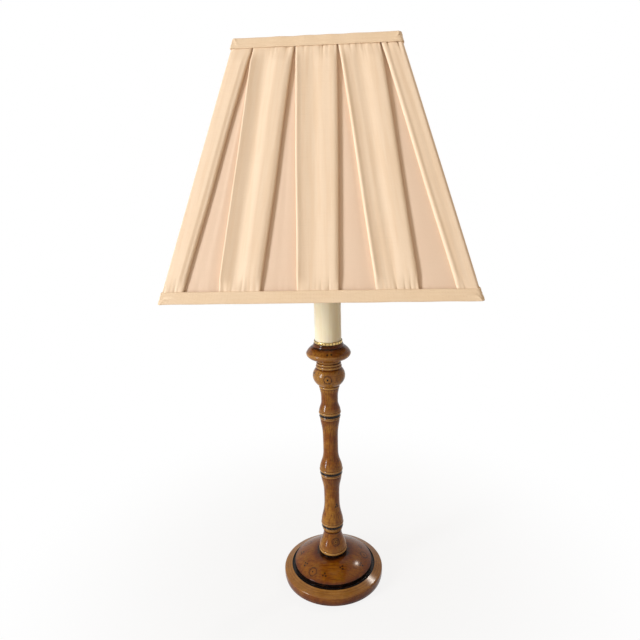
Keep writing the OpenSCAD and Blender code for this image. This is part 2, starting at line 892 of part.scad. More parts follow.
module bottom_frame() {
    z = shade_foot + wire_edge;
    color("goldenrod")
        square_ring(half_w(z) - wire_in, z);
}

module corner_ribs() {
    z0 = shade_foot + wire_edge;
    z1 = shade_top - wire_edge;
    x0 = half_w(z0) - rib_in;
    x1 = half_w(z1) - rib_in;
    run = [x1 - x0, x1 - x0, z1 - z0];
    end_cut = run / norm(run) * 1.8 * frame_wire_r;
    color("goldenrod")
        for (turn = [0:90:270])
            rotate([0, 0, turn])
                rod_between([x0, x0, z0] + end_cut, [x1, x1, z1] - end_cut, rib_r);
}

// Four-sided hollow strip that follows the slope of the shade between two heights.
// Its outer face is set in by inset and its wall is t thick.
module shade_strip(z0, z1, inset, t) {
    function corners(z, x) = [[x, -x, z], [x, x, z], [-x, x, z], [-x, -x, z]];
    points = concat(corners(z0, half_w(z0) - inset), corners(z1, half_w(z1) - inset),
        corners(z0, half_w(z0) - inset - t), corners(z1, half_w(z1) - inset - t));
    faces = [for (i = [0:3]) let (j = (i + 1) % 4)
        each [[i, i + 4, j + 4], [i, j + 4, j],
              [i + 8, j + 12, i + 12], [i + 8, j + 8, j + 12],
              [i, j, j + 8], [i, j + 8, i + 8],
              [i + 4, i + 12, j + 12], [i + 4, j + 12, j + 4]]];
    polyhedron(points, faces);
}

module shade_lining() {
    color("antiquewhite")
        shade_strip(shade_foot + 1, shade_top - lining_drop, lining_in, lining_t);
}

module top_band() {
    color("wheat")
        shade_strip(shade_top - top_band_h, shade_top, 0, band_t);
}

module bottom_band() {
    color("wheat")
        shade_strip(shade_foot, shade_foot + bottom_band_h, 0, band_t);
}

// One side of the pleated cover, facing -Y.
// Panels of constant width stand proud, and the open pleats between them widen towards the bottom.
// A full panel is folded round each corner.
module cover_side() {
    function gap_w(w) = (2 * w - pleats * panel_w) / pleats;
    function outer_line(w) = concat([[-w, -w]],
        [for (i = [0:pleats - 1]) let (u = -w + panel_w / 2 + i * (panel_w + gap_w(w)), v = u + gap_w(w))
            each [[u, -w], [u, -w + pleat_depth], [v, -w + pleat_depth], [v, -w]]],
        [[w, -w]]);
    function inner_line(w) = let (t = cloth_t) concat([[-w + t, -w + t]],
        [for (i = [0:pleats - 1]) let (u = -w + panel_w / 2 + i * (panel_w + gap_w(w)), v = u + gap_w(w))
            each [[u - t, -w + t], [u - t, -w + pleat_depth + t], [v + t, -w + pleat_depth + t],
                  [v + t, -w + t]]],
        [[w - t, -w + t]]);
    function lift(line, z) = [for (p = line) [p[0], p[1], z]];
    z0 = shade_foot + 0.4;
    z1 = shade_top - 0.4;
    w0 = half_w(z0) - cover_set;
    w1 = half_w(z1) - cover_set;
    n = 4 * pleats + 2;
    points = concat(lift(outer_line(w0), z0), lift(outer_line(w1), z1),
        lift(inner_line(w0), z0), lift(inner_line(w1), z1));
    strips = [for (i = [0:n - 2]) let (a = i, b = i + 1, c = a + n, d = b + n, s = 2 * n)
        each [[a, c, d], [a, d, b],
              [a + s, d + s, c + s], [a + s, b + s, d + s],
              [a, b, b + s], [a, b + s, a + s],
              [c, d + s, d], [c, c + s, d + s]]];
    start = [[0, 2 * n, 3 * n], [0, 3 * n, n]];
    end = [[n - 1, 2 * n - 1, 4 * n - 1], [n - 1, 4 * n - 1, 3 * n - 1]];
    polyhedron(points, concat(strips, start, end));
}

module cover_front() {
    color("blanchedalmond")
        cover_side();
}

module cover_right() {
    color("blanchedalmond")
        rotate([0, 0, 90])
            cover_side();
}

module cover_back() {
    color("blanchedalmond")
        rotate([0, 0, 180])
            cover_side();
}

module cover_left() {
    color("blanchedalmond")
        rotate([0, 0, 270])
            cover_side();
}

base_felt();
base_weight();
base_disc();
cord_bushing();
rod_washer();
rod_nut();
threaded_rod();
foot_vase();
lower_section();
middle_section();
upper_section();
candle_cup();
sleeve_ring();
candle_sleeve();
sleeve_cap();
harp_saddle();
socket_cap();
socket_shell();
socket_liner();
socket_body();
screw_shell();
centre_contact();
terminal_screws();
switch_shaft();
switch_knob();
bulb_contact();
bulb_insulator();
bulb_cap();
bulb_glass();
bulb_stem();
bulb_filament();
harp_wire();
harp_stud();
ferrule_left();
ferrule_right();
finial();
spider();
top_frame();
bottom_frame();
corner_ribs();
shade_lining();
cover_front();
cover_right();
cover_back();
cover_left();
top_band();
bottom_band();
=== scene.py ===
"""Looks of a faux bamboo table lamp with a square, box-pleated shade.

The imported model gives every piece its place. New pieces are surfaces worked out with numpy:
a profile turned round the rod, a profile carried round the square of the shade, or a folded sheet of cloth.
Lengths are in metres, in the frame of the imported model: Z runs up the rod and -Y is the front.
"""

import math

import bpy
import numpy as np
from mathutils import Matrix, Vector


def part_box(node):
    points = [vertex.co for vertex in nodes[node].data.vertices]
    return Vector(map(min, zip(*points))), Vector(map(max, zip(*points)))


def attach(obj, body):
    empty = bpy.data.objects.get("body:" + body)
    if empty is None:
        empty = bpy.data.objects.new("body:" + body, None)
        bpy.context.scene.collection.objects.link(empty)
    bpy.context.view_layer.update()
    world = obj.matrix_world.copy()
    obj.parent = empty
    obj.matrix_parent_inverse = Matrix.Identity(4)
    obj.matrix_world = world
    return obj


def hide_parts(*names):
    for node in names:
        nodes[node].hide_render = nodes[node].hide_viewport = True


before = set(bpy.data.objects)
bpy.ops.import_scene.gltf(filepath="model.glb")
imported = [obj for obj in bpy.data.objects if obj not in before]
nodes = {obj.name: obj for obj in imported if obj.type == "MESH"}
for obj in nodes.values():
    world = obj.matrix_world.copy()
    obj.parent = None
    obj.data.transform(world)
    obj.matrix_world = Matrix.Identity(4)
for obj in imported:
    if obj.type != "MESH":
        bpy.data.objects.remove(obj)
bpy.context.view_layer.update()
MM = 0.001

# Camera, fitted to the rings of the stem, the rim of the base and the corners of the shade
CAMERA_PLACE = (0.0368, -0.6367, 0.5147)
CAMERA_YAW = 0.0725
CAMERA_PITCH = 0.2408
CAMERA_ROLL = -0.0272
CAMERA_FOCAL_PX = 536.47
IMAGE_PX = 640
SENSOR_MM = 36


# Profiles

def ease(t, k=1.0):
    """Half a cosine wave from 0 to 1; a larger k stays near 0 for longer."""
    return (1 - np.cos(np.pi * np.asarray(t, float) ** k)) / 2


def flare(r0, z0, r1, z1, k):
    """Profile whose radius eases from r0 to r1 while its height runs from z0 to z1."""
    t = np.linspace(0, 1, 60)
    return np.stack([r0 + (r1 - r0) * ease(t, k), z0 + (z1 - z0) * t], 1)


def arc(r, z, a, b, start, end):
    """Elliptical arc about (r, z) with half-axes a and b, between two angles in degrees."""
    t = np.radians(np.linspace(start, end, 40))
    return np.stack([r + a * np.cos(t), z + b * np.sin(t)], 1)


def bead(r, z0, z1, proud):
    """Half-round bead that stands proud of radius r, from height z0 to z1."""
    return arc(r, (z0 + z1) / 2, proud, (z1 - z0) / 2, -90, 90)


def resample(line, step):
    """The same open line with points a step apart along its length."""
    along = np.concatenate([[0], np.cumsum(np.hypot(*np.diff(line, axis=0).T))])
    at = np.linspace(0, along[-1], max(2, round(along[-1] / step)))
    return np.stack([np.interp(at, along, line[:, k]) for k in (0, 1)], 1)


def resample_loop(loop, step):
    """The same for a closed loop, which doesn't repeat its first point."""
    return resample(np.concatenate([loop, loop[:1]]), step)[:-1]


def blur(line, spread):
    """Gaussian average of an open line over spread points, mirrored through its ends so that they stay."""
    reach = math.ceil(4 * spread)
    kernel = np.exp(-0.5 * (np.arange(-reach, reach + 1) / spread) ** 2)
    padded = np.pad(line, ((reach, reach), (0, 0)), "reflect", reflect_type="odd")
    return np.stack([np.convolve(padded[:, k], kernel / kernel.sum(), "valid") for k in (0, 1)], 1)


def right_of(line):
    """Unit vectors at right angles to an open line, to the right of its run."""
    along = np.gradient(line, axis=0)
    aside = np.stack([along[:, 1], -along[:, 0]], 1)
    return aside / np.linalg.norm(aside, axis=1, keepdims=True)


def joined(*parts):
    """Arrays spread to one shape and stacked, as the coordinates of one array of points."""
    return np.stack(np.broadcast_arrays(*parts), -1)


# Meshes

def grid_mesh(name, points, wrap_rows=False, wrap_columns=False, uv=None, attributes=None):
    """Quads between neighbouring points of a (rows, columns, 3) array.

    A wrapped direction joins its last line back to its first. uv has one more line in a wrapped direction.
    attributes maps a name to a (rows, columns) array of numbers.
    """
    rows, columns = points.shape[:2]
    i, j = np.indices((rows - (not wrap_rows), columns - (not wrap_columns))).reshape(2, -1)
    corner_rows = np.stack([i, i, i + 1, i + 1], 1)
    corner_columns = np.stack([j, j + 1, j + 1, j], 1)
    quads = (corner_rows % rows) * columns + corner_columns % columns
    mesh = bpy.data.meshes.new(name)
    mesh.from_pydata(points.reshape(-1, 3), [], quads)
    mesh.polygons.foreach_set("use_smooth", np.ones(len(quads), bool))
    if uv is not None:
        layer = mesh.uv_layers.new(name="cloth")
        layer.data.foreach_set("uv", uv[corner_rows, corner_columns].astype(np.float32).ravel())
    for key, values in (attributes or {}).items():
        layer = mesh.attributes.new(key, "FLOAT", "POINT")
        layer.data.foreach_set("value", values.astype(np.float32).ravel())
    mesh.update()
    made = bpy.data.objects.new(name, mesh)
    bpy.context.scene.collection.objects.link(made)
    return made


def revolve(name, loop, sides, attributes=None, dent=0.0):
    """Turns a closed loop of (radius, height) points round the rod: x = r cos a, y = r sin a.

    dent is taken off the radius. Like each attribute, it is one number for each point, or a row of them for
    all the sides.
    """
    a = np.linspace(0, 2 * np.pi, sides, endpoint=False)
    r = loop[:, :1] - dent
    spread = {key: values + 0 * a for key, values in (attributes or {}).items()}
    points = joined(r * np.cos(a), r * np.sin(a), loop[:, 1:])
    return grid_mesh(name, points, wrap_rows=True, wrap_columns=True, attributes=spread)


def finish_piece(piece, body, material, slot, *replaced):
    """Gives a new piece its body and its material, and hides the nodes that it stands for. Its slot is not
    used.
    """
    piece.data.materials.append(material)
    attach(piece, body)
    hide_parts(*replaced)


# Node trees

class Nodes:
    """A node tree, with short ways to add nodes and to link them."""

    def __init__(self, owner):
        owner.use_nodes = True
        self.tree = owner.node_tree
        self.tree.nodes.clear()

    def put(self, socket, value):
        """Links an output to a socket, or sets the socket's own value. A colour is given as three numbers."""
        if isinstance(value, bpy.types.NodeSocket):
            self.tree.links.new(value, socket)
        else:
            socket.default_value = (*value, 1.0) if socket.type == "RGBA" else value

    def node(self, kind, inputs=None, out=0, **settings):
        """Adds a node, links or sets its inputs, and returns one of its outputs, if it has any."""
        made = self.tree.nodes.new(kind)
        for key, value in settings.items():
            setattr(made, key, value)
        for key, value in (inputs or {}).items():
            self.put(made.inputs[key], value)
        return made.outputs[out] if made.outputs else None

    def scaled(self, vector, stretch):
        if stretch == (1, 1, 1):
            return vector
        return self.node("ShaderNodeVectorMath", {0: vector, 1: stretch}, operation="MULTIPLY")

    def place(self, stretch=(1, 1, 1)):
        """Object coordinates, multiplied by stretch."""
        return self.scaled(self.node("ShaderNodeTexCoord", out="Object"), stretch)

    def cloth(self, stretch=(1, 1, 1)):
        """The flat cloth's own coordinates in metres: across the threads, and along them."""
        return self.scaled(self.node("ShaderNodeUVMap", uv_map="cloth"), stretch)

    def length(self, vector):
        return self.node("ShaderNodeVectorMath", {0: vector}, out="Value", operation="LENGTH")

    def noise(self, vector, scale, detail=2.0, roughness=0.5, distortion=0.0, out=0):
        return self.node("ShaderNodeTexNoise", {
            "Vector": vector, "Scale": scale, "Detail": detail,
            "Roughness": roughness, "Distortion": distortion}, out=out)

    def math(self, operation, a, b=0.0, clamp=False):
        return self.node("ShaderNodeMath", {0: a, 1: b}, operation=operation, use_clamp=clamp)

    def step(self, value, low, high, to_low=0.0, to_high=1.0):
        """Smooth step of value: to_low below low, to_high above high."""
        return self.node("ShaderNodeMapRange", {
            "Value": value, "From Min": low, "From Max": high,
            "To Min": to_low, "To Max": to_high}, interpolation_type="SMOOTHSTEP")

    def mix(self, amount, a, b):
        return self.node("ShaderNodeMix", {0: amount, 6: a, 7: b}, out=2, data_type="RGBA")

    def attribute(self, name):
        return self.node("ShaderNodeAttribute", out="Fac", attribute_name=name)

    def bump(self, height, distance, strength):
        return self.node("ShaderNodeBump", {"Height": height, "Distance": distance, "Strength": strength})

    def nearest(self, vector, places):
        """Distance from vector to the nearest of some fixed places."""
        away = [self.node("ShaderNodeVectorMath", {0: vector, 1: place}, out="Value", operation="DISTANCE")
                for place in places]
        best = away[0]
        for other in away[1:]:
            best = self.math("MINIMUM", best, other)
        return best

    def looked_at(self, *kinds):
        """1 for rays of the named kinds, and 0 for all others."""
        seen = 0.0
        for kind in kinds:
            seen = self.math("MAXIMUM", seen, self.node("ShaderNodeLightPath", out=kind))
        return seen

    def end_in(self, output, share, a, b):
        """Ends the tree in a mix of two shaders."""
        self.node(output, {"Surface": self.node("ShaderNodeMixShader", {0: share, 1: a, 2: b})})


class Shader(Nodes):
    """A material whose surface is one Principled shader."""

    def __init__(self, name):
        self.material = bpy.data.materials.new(name)
        super().__init__(self.material)
        self.surface = self.tree.nodes.new("ShaderNodeBsdfPrincipled")
        self.node("ShaderNodeOutputMaterial", {"Surface": self.surface.outputs[0]})

    def set(self, **values):
        """Sets or links inputs of the surface, with an underscore for a space. Returns the material."""
        for key, value in values.items():
            self.put(self.surface.inputs[key.replace("_", " ")], value)
        return self.material


# Wood colours, as linear values
AMBER = (0.200, 0.058, 0.002)
HONEY = (0.340, 0.145, 0.016)
DEEP_HONEY = (0.260, 0.092, 0.006)
OLIVE = (0.225, 0.095, 0.005)
RUSSET = (0.100, 0.020, 0.002)
UMBER = (0.020, 0.006, 0.002)
INK = (0.005, 0.003, 0.003)
THIN_INK = (0.075, 0.026, 0.010)
# Light tan of proud edges: partly wear, partly a painted highlight
WORN_AND_HIGHLIT = (0.480, 0.275, 0.085)
EYE_RING_W = 0.85 * MM
DOT_R = 1.4 * MM
EYE_R = 4.9 * MM
PUPIL_R = 1.8 * MM


def antiqued_wood(name, eyes, rings, pupil, dots, honey=HONEY, streak=(1, 1, 0.08)):
    """Glossy tan wood with mottling, lathe marks, glaze in its hollows, black grooves and painted marks.

    The colour mixes amber, honey and olive by noise, and russet by noise that is stretched along the grain.
    Lathe marks are noise over radius and height alone. The attribute glaze reddens and then darkens hollows,
    a second attribute lightens proud edges, partly as wear and partly as a painted highlight, and ink paints
    grooves. Painted marks come from the distance to their centres, which noise pushes about.
    """
    s = Shader(name)
    place = s.place()
    cloud = s.noise(place, 55, detail=3, roughness=0.55)
    patch = s.noise(s.place((1, 1, 0.6)), 120, detail=3, roughness=0.6)
    grain = s.noise(s.place(streak), 520, detail=4, roughness=0.62, distortion=0.3)
    pores = s.noise(s.place(streak), 1900, detail=2)
    speck = s.noise(place, 420, detail=3, roughness=0.65)
    height = s.node("ShaderNodeSeparateXYZ", {0: place}, out="Z")
    turned = s.node("ShaderNodeCombineXYZ", {"X": s.length(s.place((1, 1, 0))), "Y": 0.0, "Z": height})
    lathe = s.noise(turned, 1100, detail=3)
    colour = s.mix(s.step(cloud, 0.42, 0.64), AMBER, honey)
    for where, low, high, amount, tint in (
            (patch, 0.50, 0.66, 0.55, OLIVE), (grain, 0.47, 0.66, 0.70, RUSSET),
            (pores, 0.56, 0.72, 0.35, UMBER), (speck, 0.60, 0.74, 0.50, UMBER),
            (lathe, 0.50, 0.68, 0.35, RUSSET)):
        colour = s.mix(s.step(where, low, high, 0.0, amount), colour, tint)
    # Proud edges are lightened: partly wear, partly a painted highlight
    wear_and_highlight = s.math("MULTIPLY", s.attribute("wear_and_highlight"), s.step(patch, 0.35, 0.60, 1.0, 0.7), clamp=True)
    colour = s.mix(s.math("MULTIPLY", wear_and_highlight, s.step(lathe, 0.42, 0.62, 0.85, 0.45)), colour, WORN_AND_HIGHLIT)
    gathered = s.math("MULTIPLY", s.attribute("glaze"), s.step(patch, 0.30, 0.65, 1.3, 0.7), clamp=True)
    colour = s.mix(s.step(gathered, 0.05, 0.45, 0.0, 0.80), colour, RUSSET)
    colour = s.mix(s.step(gathered, 0.40, 0.95, 0.0, 0.92), colour, UMBER)
    push = s.node("ShaderNodeVectorMath", {
        0: s.noise(place, 330, detail=2, out=1), 1: (0.5, 0.5, 0.5)}, operation="SUBTRACT")
    warped = s.node("ShaderNodeVectorMath", {0: push, 1: (2.0 * MM,) * 3, 2: place}, operation="MULTIPLY_ADD")
    painted = 0.0
    if eyes:
        away = s.nearest(warped, eyes)
        colour = s.mix(s.step(away, rings[0], rings[0] * 1.8, 0.35, 0.0), colour, RUSSET)
        colour = s.mix(s.step(away, rings[0] * 0.55, rings[0] * 0.8, 0.5, 0.0), colour, honey)
        for r in rings:
            off_ring = s.math("ABSOLUTE", s.math("SUBTRACT", away, r))
            line = s.math("MULTIPLY", s.step(off_ring, EYE_RING_W * 0.25, EYE_RING_W, 0.9, 0.0),
                          s.step(speck, 0.38, 0.62, 1.0, 0.45))
            painted = s.math("MAXIMUM", painted, line)
        painted = s.math("MAXIMUM", painted, s.step(away, pupil * 0.6, pupil * 1.1, 1.0, 0.0))
    away = s.nearest(warped, dots)
    painted = s.math("MAXIMUM", painted, s.step(away, DOT_R * 0.5, DOT_R * 1.2, 0.9, 0.0))
    colour = s.mix(painted, colour, INK)
    edge = s.math("ADD", s.attribute("ink"), s.math("MULTIPLY", s.math("SUBTRACT", speck, 0.5), 0.35))
    ink = s.mix(s.step(grain, 0.5, 0.7, 0.0, 0.55), INK, THIN_INK)
    relief = s.math("ADD", s.math("MULTIPLY", grain, 0.35), s.math("MULTIPLY", lathe, 0.65))
    return s.set(
        Base_Color=s.mix(s.step(edge, 0.42, 0.58), colour, ink),
        Roughness=s.step(speck, 0.3, 0.7, 0.40, 0.52),
        Specular_IOR_Level=0.0,
        Coat_Weight=0.85,
        Coat_Roughness=0.17,
        Coat_IOR=1.32,
        Normal=s.bump(s.math("SUBTRACT", relief, s.math("MULTIPLY", painted, 0.5)), 0.08 * MM, 0.4))


# Turned wood

STEM_SIDES = 144
STEM_STEP = 0.36 * MM
BORE_R = 5.15 * MM
CORNER_ROUND = 0.20 * MM
HOLLOW_REACH = 1.3 * MM
HOLLOW_FULL = 0.22 * MM
LINE_W = 0.25 * MM
GROOVE_H = 2.6 * MM
GROOVE_DEPTH = 0.9 * MM
PAINT_OVER = 0.5 * MM
LIP_H = 3.4 * MM
LIP_PROUD = 1 * MM
FILLET_H = 1.8 * MM
FILLET_BACK = 0.5 * MM
BEAD_H = 3 * MM
BEAD_BACK = 1.2 * MM
BEAD_PROUD = 0.7 * MM

# For each length: radius of its lip and its waist, height of the waist as a share of the length, and how long
# the lower and the upper flare stay slim
LENGTHS = {
    "foot_vase": (18.7 * MM, 11.9 * MM, 0.76, 1.1, 1.0),
    "lower_section": (14.9 * MM, 10.1 * MM, 0.52, 1.75, 1.7),
    "middle_section": (15.2 * MM, 9.7 * MM, 0.38, 1.45, 2.7),
    "upper_section": (14.2 * MM, 10.7 * MM, 0.44, 1.1, 2.2)}
VASE_GROOVE_H = 3.4 * MM
VASE_LIP_H = 4 * MM
BALL_R = 20.4 * MM
BALL_H = 23 * MM
BALL_MIDDLE = 0.56
BALL_TALL = 0.72
BALL_FOOT = -50
BALL_HEAD = 37
NECK_PROUD = 2.4 * MM
COLLAR_H = 7.4 * MM
COLLAR_R = BALL_R - 4.1 * MM
CUP_NECK_H = 4 * MM
CUP_NECK_R = 15 * MM
CUP_RIM_SHARE = 0.49
CUP_EDGE = 25
CUP_TURN = 65
CUP_STEP_W = 2.9 * MM
CUP_STEP_H = 3.4 * MM
RING_SEAT_W = 1.6 * MM


def foot_of(node):
    """Height of a CAD node's lowest point."""
    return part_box(node)[0].z


def bamboo_foot(node, z0, z_waist, lip_h=LIP_H):
    """Rounded lip, then a flare that draws in to the waist."""
    lip, waist, _, slim, _ = LENGTHS[node]
    return np.concatenate([
        bead(lip - LIP_PROUD, z0, z0 + lip_h, LIP_PROUD),
        flare(waist, z_waist, lip - LIP_PROUD / 2, z0 + lip_h + LINE_W, slim)[::-1]])


def bamboo_head(node, above, z_waist, top):
    """Flare that opens from the waist to a bead and a fillet, with the groove of the next node above them."""
    _, waist, _, _, slim = LENGTHS[node]
    lip = LENGTHS[above][0]
    z_fillet = top - GROOVE_H - FILLET_H
    z_bead = z_fillet - BEAD_H
    r = lip - BEAD_BACK - BEAD_PROUD
    return np.concatenate([
        flare(waist, z_waist, r + BEAD_PROUD / 4, z_bead, slim),
        bead(r, z_bead + LINE_W, z_fillet, BEAD_PROUD),
        bead(lip - 2 * FILLET_BACK, z_fillet + LINE_W, z_fillet + FILLET_H, FILLET_BACK),
        [[lip - GROOVE_DEPTH, top - GROOVE_H], [lip - GROOVE_DEPTH, top]]])


def length_outline(node, above):
    """One length: foot, waist and head. The vase stands on a groove of its own."""
    z0, top = foot_of(node), foot_of(above)
    z_waist = z0 + (top - z0) * LENGTHS[node][2]
    head = bamboo_head(node, above, z_waist, top)
    if node != "foot_vase":
        return np.concatenate([bamboo_foot(node, z0, z_waist), head])
    groove = LENGTHS[node][0] - GROOVE_DEPTH
    z_lip = z0 + VASE_GROOVE_H
    foot = bamboo_foot(node, z_lip, z_waist, VASE_LIP_H)
    return np.concatenate([[[groove, z0], [groove, z_lip]], foot, head])


def upper_outline():
    """The last length, its neck bead, the ball, and the two small beads below the cup."""
    z0, top = foot_of("upper_section"), foot_of("candle_cup")
    _, waist, share, _, slim = LENGTHS["upper_section"]
    neck = waist + NECK_PROUD - BEAD_PROUD
    z_ball = top - COLLAR_H - BALL_H
    z_waist = z0 + (z_ball - z0) * share
    z_bead = z_ball - BEAD_H - 2 * LINE_W
    z_middle = top - COLLAR_H / 2
    return np.concatenate([
        bamboo_foot("upper_section", z0, z_waist),
        flare(waist, z_waist, neck, z_bead, slim),
        bead(neck, z_bead + LINE_W, z_ball - LINE_W, BEAD_PROUD),
        [[neck, z_ball]],
        arc(0, z_ball + BALL_H * BALL_MIDDLE, BALL_R, BALL_H * BALL_TALL, BALL_FOOT, BALL_HEAD),
        bead(COLLAR_R - BEAD_PROUD, top - COLLAR_H + LINE_W, z_middle, BEAD_PROUD),
        bead(COLLAR_R - 2 * BEAD_PROUD, z_middle + LINE_W, top - LINE_W, BEAD_PROUD),
        [[COLLAR_R - 2 * BEAD_PROUD, top]]])


def cup_outline():
    """Neck bead, a lens-shaped rim, and a step up to the brass ring."""
    z0, top = foot_of("candle_cup"), foot_of("sleeve_ring")
    neck = CUP_NECK_R - BEAD_PROUD
    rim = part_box("candle_cup")[1].x
    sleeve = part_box("candle_sleeve")[1].x
    step = sleeve + CUP_STEP_W
    z_step = top - CUP_STEP_H
    z_rim = z0 + (top - z0) * CUP_RIM_SHARE
    z_over = z_rim + LINE_W
    low, high = math.radians(CUP_EDGE), math.radians(CUP_TURN)
    wide = (rim - step) / (math.cos(low) - math.cos(high))
    tall = (z_step - LINE_W - z_over) / (math.sin(high) - math.sin(low))
    return np.concatenate([
        bead(neck, z0 + LINE_W, z0 + CUP_NECK_H - LINE_W, BEAD_PROUD),
        arc(neck, z_rim - LINE_W, rim - neck, z_rim - LINE_W - z0 - CUP_NECK_H, -88, 0),
        arc(rim - wide * math.cos(low), z_over - tall * math.sin(low), wide, tall, CUP_EDGE, CUP_TURN),
        flare(sleeve + RING_SEAT_W, top, step, z_step, 1)[::-1]])


RIM_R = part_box("base_disc")[1].x
RIM_EDGE_H = 11.5 * MM
RIM_TOP_H = 17.5 * MM
RIM_ROUND = 2.4 * MM
RIM_TURN = 68
DRAFT_W = 0.9 * MM
DRAFT_H = 4 * MM
DOME_R = 52 * MM
DOME_EDGE_H = 22 * MM
RING_CUT_W = 3.6 * MM
RING_DEPTH = 2 * MM
SEAT_R = 19.3 * MM
DOME_BEND = 1.8
BASE_STEP = 0.45 * MM


def base_outline():
    """Straight edge, rounded over to a sloping rim, the ring cut beside it, and a dome up to the vase."""
    z0, top = foot_of("base_disc"), foot_of("foot_vase")
    cut = DOME_R + RING_CUT_W
    u = np.linspace(1, 0, 80)
    dome = np.stack([
        SEAT_R + (DOME_R - SEAT_R) * u,
        DOME_EDGE_H + (top - DOME_EDGE_H) * (1 - u ** DOME_BEND)], 1)
    return np.concatenate([
        [[RIM_R - DRAFT_W, z0], [RIM_R, z0 + DRAFT_H]],
        arc(RIM_R - RIM_ROUND, RIM_EDGE_H, RIM_ROUND, RIM_ROUND, 0, RIM_TURN),
        [[cut, RIM_TOP_H], [cut, RIM_TOP_H - RING_DEPTH], [DOME_R, RIM_TOP_H - RING_DEPTH]],
        dome])


def turned_line(outline, step=STEM_STEP):
    """Evenly spaced outline with soft corners, and how hollow each point is, from -1 (proud) to 1."""
    line = resample(outline, step)
    soft = blur(line, CORNER_ROUND / step)
    wide = blur(line, HOLLOW_REACH / step)
    hollow = ((wide - soft) * right_of(soft)).sum(1) / HOLLOW_FULL
    return soft, np.clip(hollow, -1, 1)


def inked(line, z_low, z_high, r_low=0.0, r_high=1.0):
    """Paint of a groove: over 0.5 between two heights and two radii, and fading over a millimetre."""
    out_z = np.maximum(z_low - line[:, 1], line[:, 1] - z_high)
    out_r = np.maximum(r_low - line[:, 0], line[:, 0] - r_high)
    return np.clip(0.5 - np.maximum(out_z, out_r) / (1.2 * MM), 0, 1)


def stained(line, place, reach, strength, column=1):
    """Glaze gathered round one height, or round one radius with column 0: strength exp(-distance / reach)."""
    return strength * np.exp(-np.abs(line[:, column] - place) / reach)


def on_surface(line, azimuth, at, column=1):
    """The point of a turned surface at an azimuth in degrees from the front, and a height or a radius."""
    order = np.argsort(line[:, column])
    other = np.interp(at, line[order, column], line[order, 1 - column])
    r, z = (other, at) if column else (at, other)
    a = math.radians(azimuth)
    return np.array([r * math.sin(a), -r * math.cos(a), z])


def cluster(line, azimuth, at, turn, column, size):
    """Three painted dots in a triangle round a point of a turned surface."""
    centre = on_surface(line, azimuth, at, column)
    r = math.hypot(centre[0], centre[1])
    spots = []
    for k in range(3):
        t = math.radians(turn + 120 * k)
        aside = math.degrees(size * math.sin(t) / r)
        spots.append(on_surface(line, azimuth + aside, at + size * math.cos(t), column))
    return spots


def turned_piece(name, node, line, glaze, wear_and_highlight, ink, material):
    """Turned wood: the outline, closed along the rod's bore."""
    loop = np.concatenate([[[BORE_R, line[0, 1]]], line, [[BORE_R, line[-1, 1]]]])
    paint = {key: np.pad(np.clip(value, 0, 1), 1)[:, None]
             for key, value in (("glaze", glaze), ("wear_and_highlight", wear_and_highlight), ("ink", ink))}
    piece = revolve(name, loop, STEM_SIDES, paint)
    finish_piece(piece, "root", material, "antiqued_wood", node)
    return piece


def drilled(piece, centre, direction, radius, length):
    """Cuts a round hole through a piece, with a circle that is carried from a centre along a direction."""
    a = np.linspace(0, 2 * np.pi, 64, endpoint=False)
    ring = np.stack([np.cos(a), np.sin(a), 0 * a], 1) * radius
    ends = np.stack([ring, ring + (0, 0, length)], 0)
    turn = np.array(Vector((0, 0, 1)).rotation_difference(Vector(direction)).to_matrix())
    points = (ends.reshape(-1, 3) @ turn.T + np.array(centre)).tolist()
    count = len(a)
    walls = [[i, (i + 1) % count, count + (i + 1) % count, count + i] for i in range(count)]
    mesh = bpy.data.meshes.new("drill")
    mesh.from_pydata(points, [], walls + [list(range(count))[::-1], list(range(count, 2 * count))])
    drill = bpy.data.objects.new("drill", mesh)
    bpy.context.scene.collection.objects.link(drill)
    cut = piece.modifiers.new("hole", "BOOLEAN")
    cut.object, cut.operation, cut.solver = drill, "DIFFERENCE", "EXACT"
    bpy.context.view_layer.update()
    evaluated = piece.evaluated_get(bpy.context.evaluated_depsgraph_get())
    piece.data = bpy.data.meshes.new_from_object(evaluated)
    piece.modifiers.clear()
    bpy.data.objects.remove(drill)


# Painted marks of each turned piece, in degrees and millimetres: its eyes as (azimuth, place), and its
# clusters of dots as (azimuth, place, turn). The place is a radius on the base, and a height on the stem.
MARKS = {
    "base_disc": (
        ((-35.5, 43.7), (88.5, 42), (150, 40), (-120, 42)),
        ((-58.5, 42, 20), (-13, 42.8, 60), (62, 43, 10), (112, 40, 40),
         (178, 44, 0), (-150, 40, 30), (-92, 43, 70), (22, 34, 15))),
    "foot_vase": (((18.5, 56), (175, 55), (-95, 58)), ((-140, 56, 30),)),
    "lower_section": (((-150, 100),), ((40, 107, 0), (170, 128, 30), (-70, 96, 50))),
    "middle_section": (((150, 190), (-110, 205)), ((95, 178, 20), (-160, 184, 0))),
    "upper_section": (((-2, 286.8), (125, 286), (-120, 285)), ((62, 283, 0), (-68, 291, 40), (180, 262, 20))),
    "candle_cup": ((), ((120, 320, 0), (-110, 321, 50)))}
CUP_DOTS = ((0, 320.6), (10.5, 321))


def marks(line, node, column=1, size=1.9 * MM):
    """The centres of a piece's eyes, and those of all its dots."""
    eyes, clusters = MARKS[node]
    return ([on_surface(line, a, place * MM, column) for a, place in eyes],
            [dot for a, place, turn in clusters for dot in cluster(line, a, place * MM, turn, column, size)])


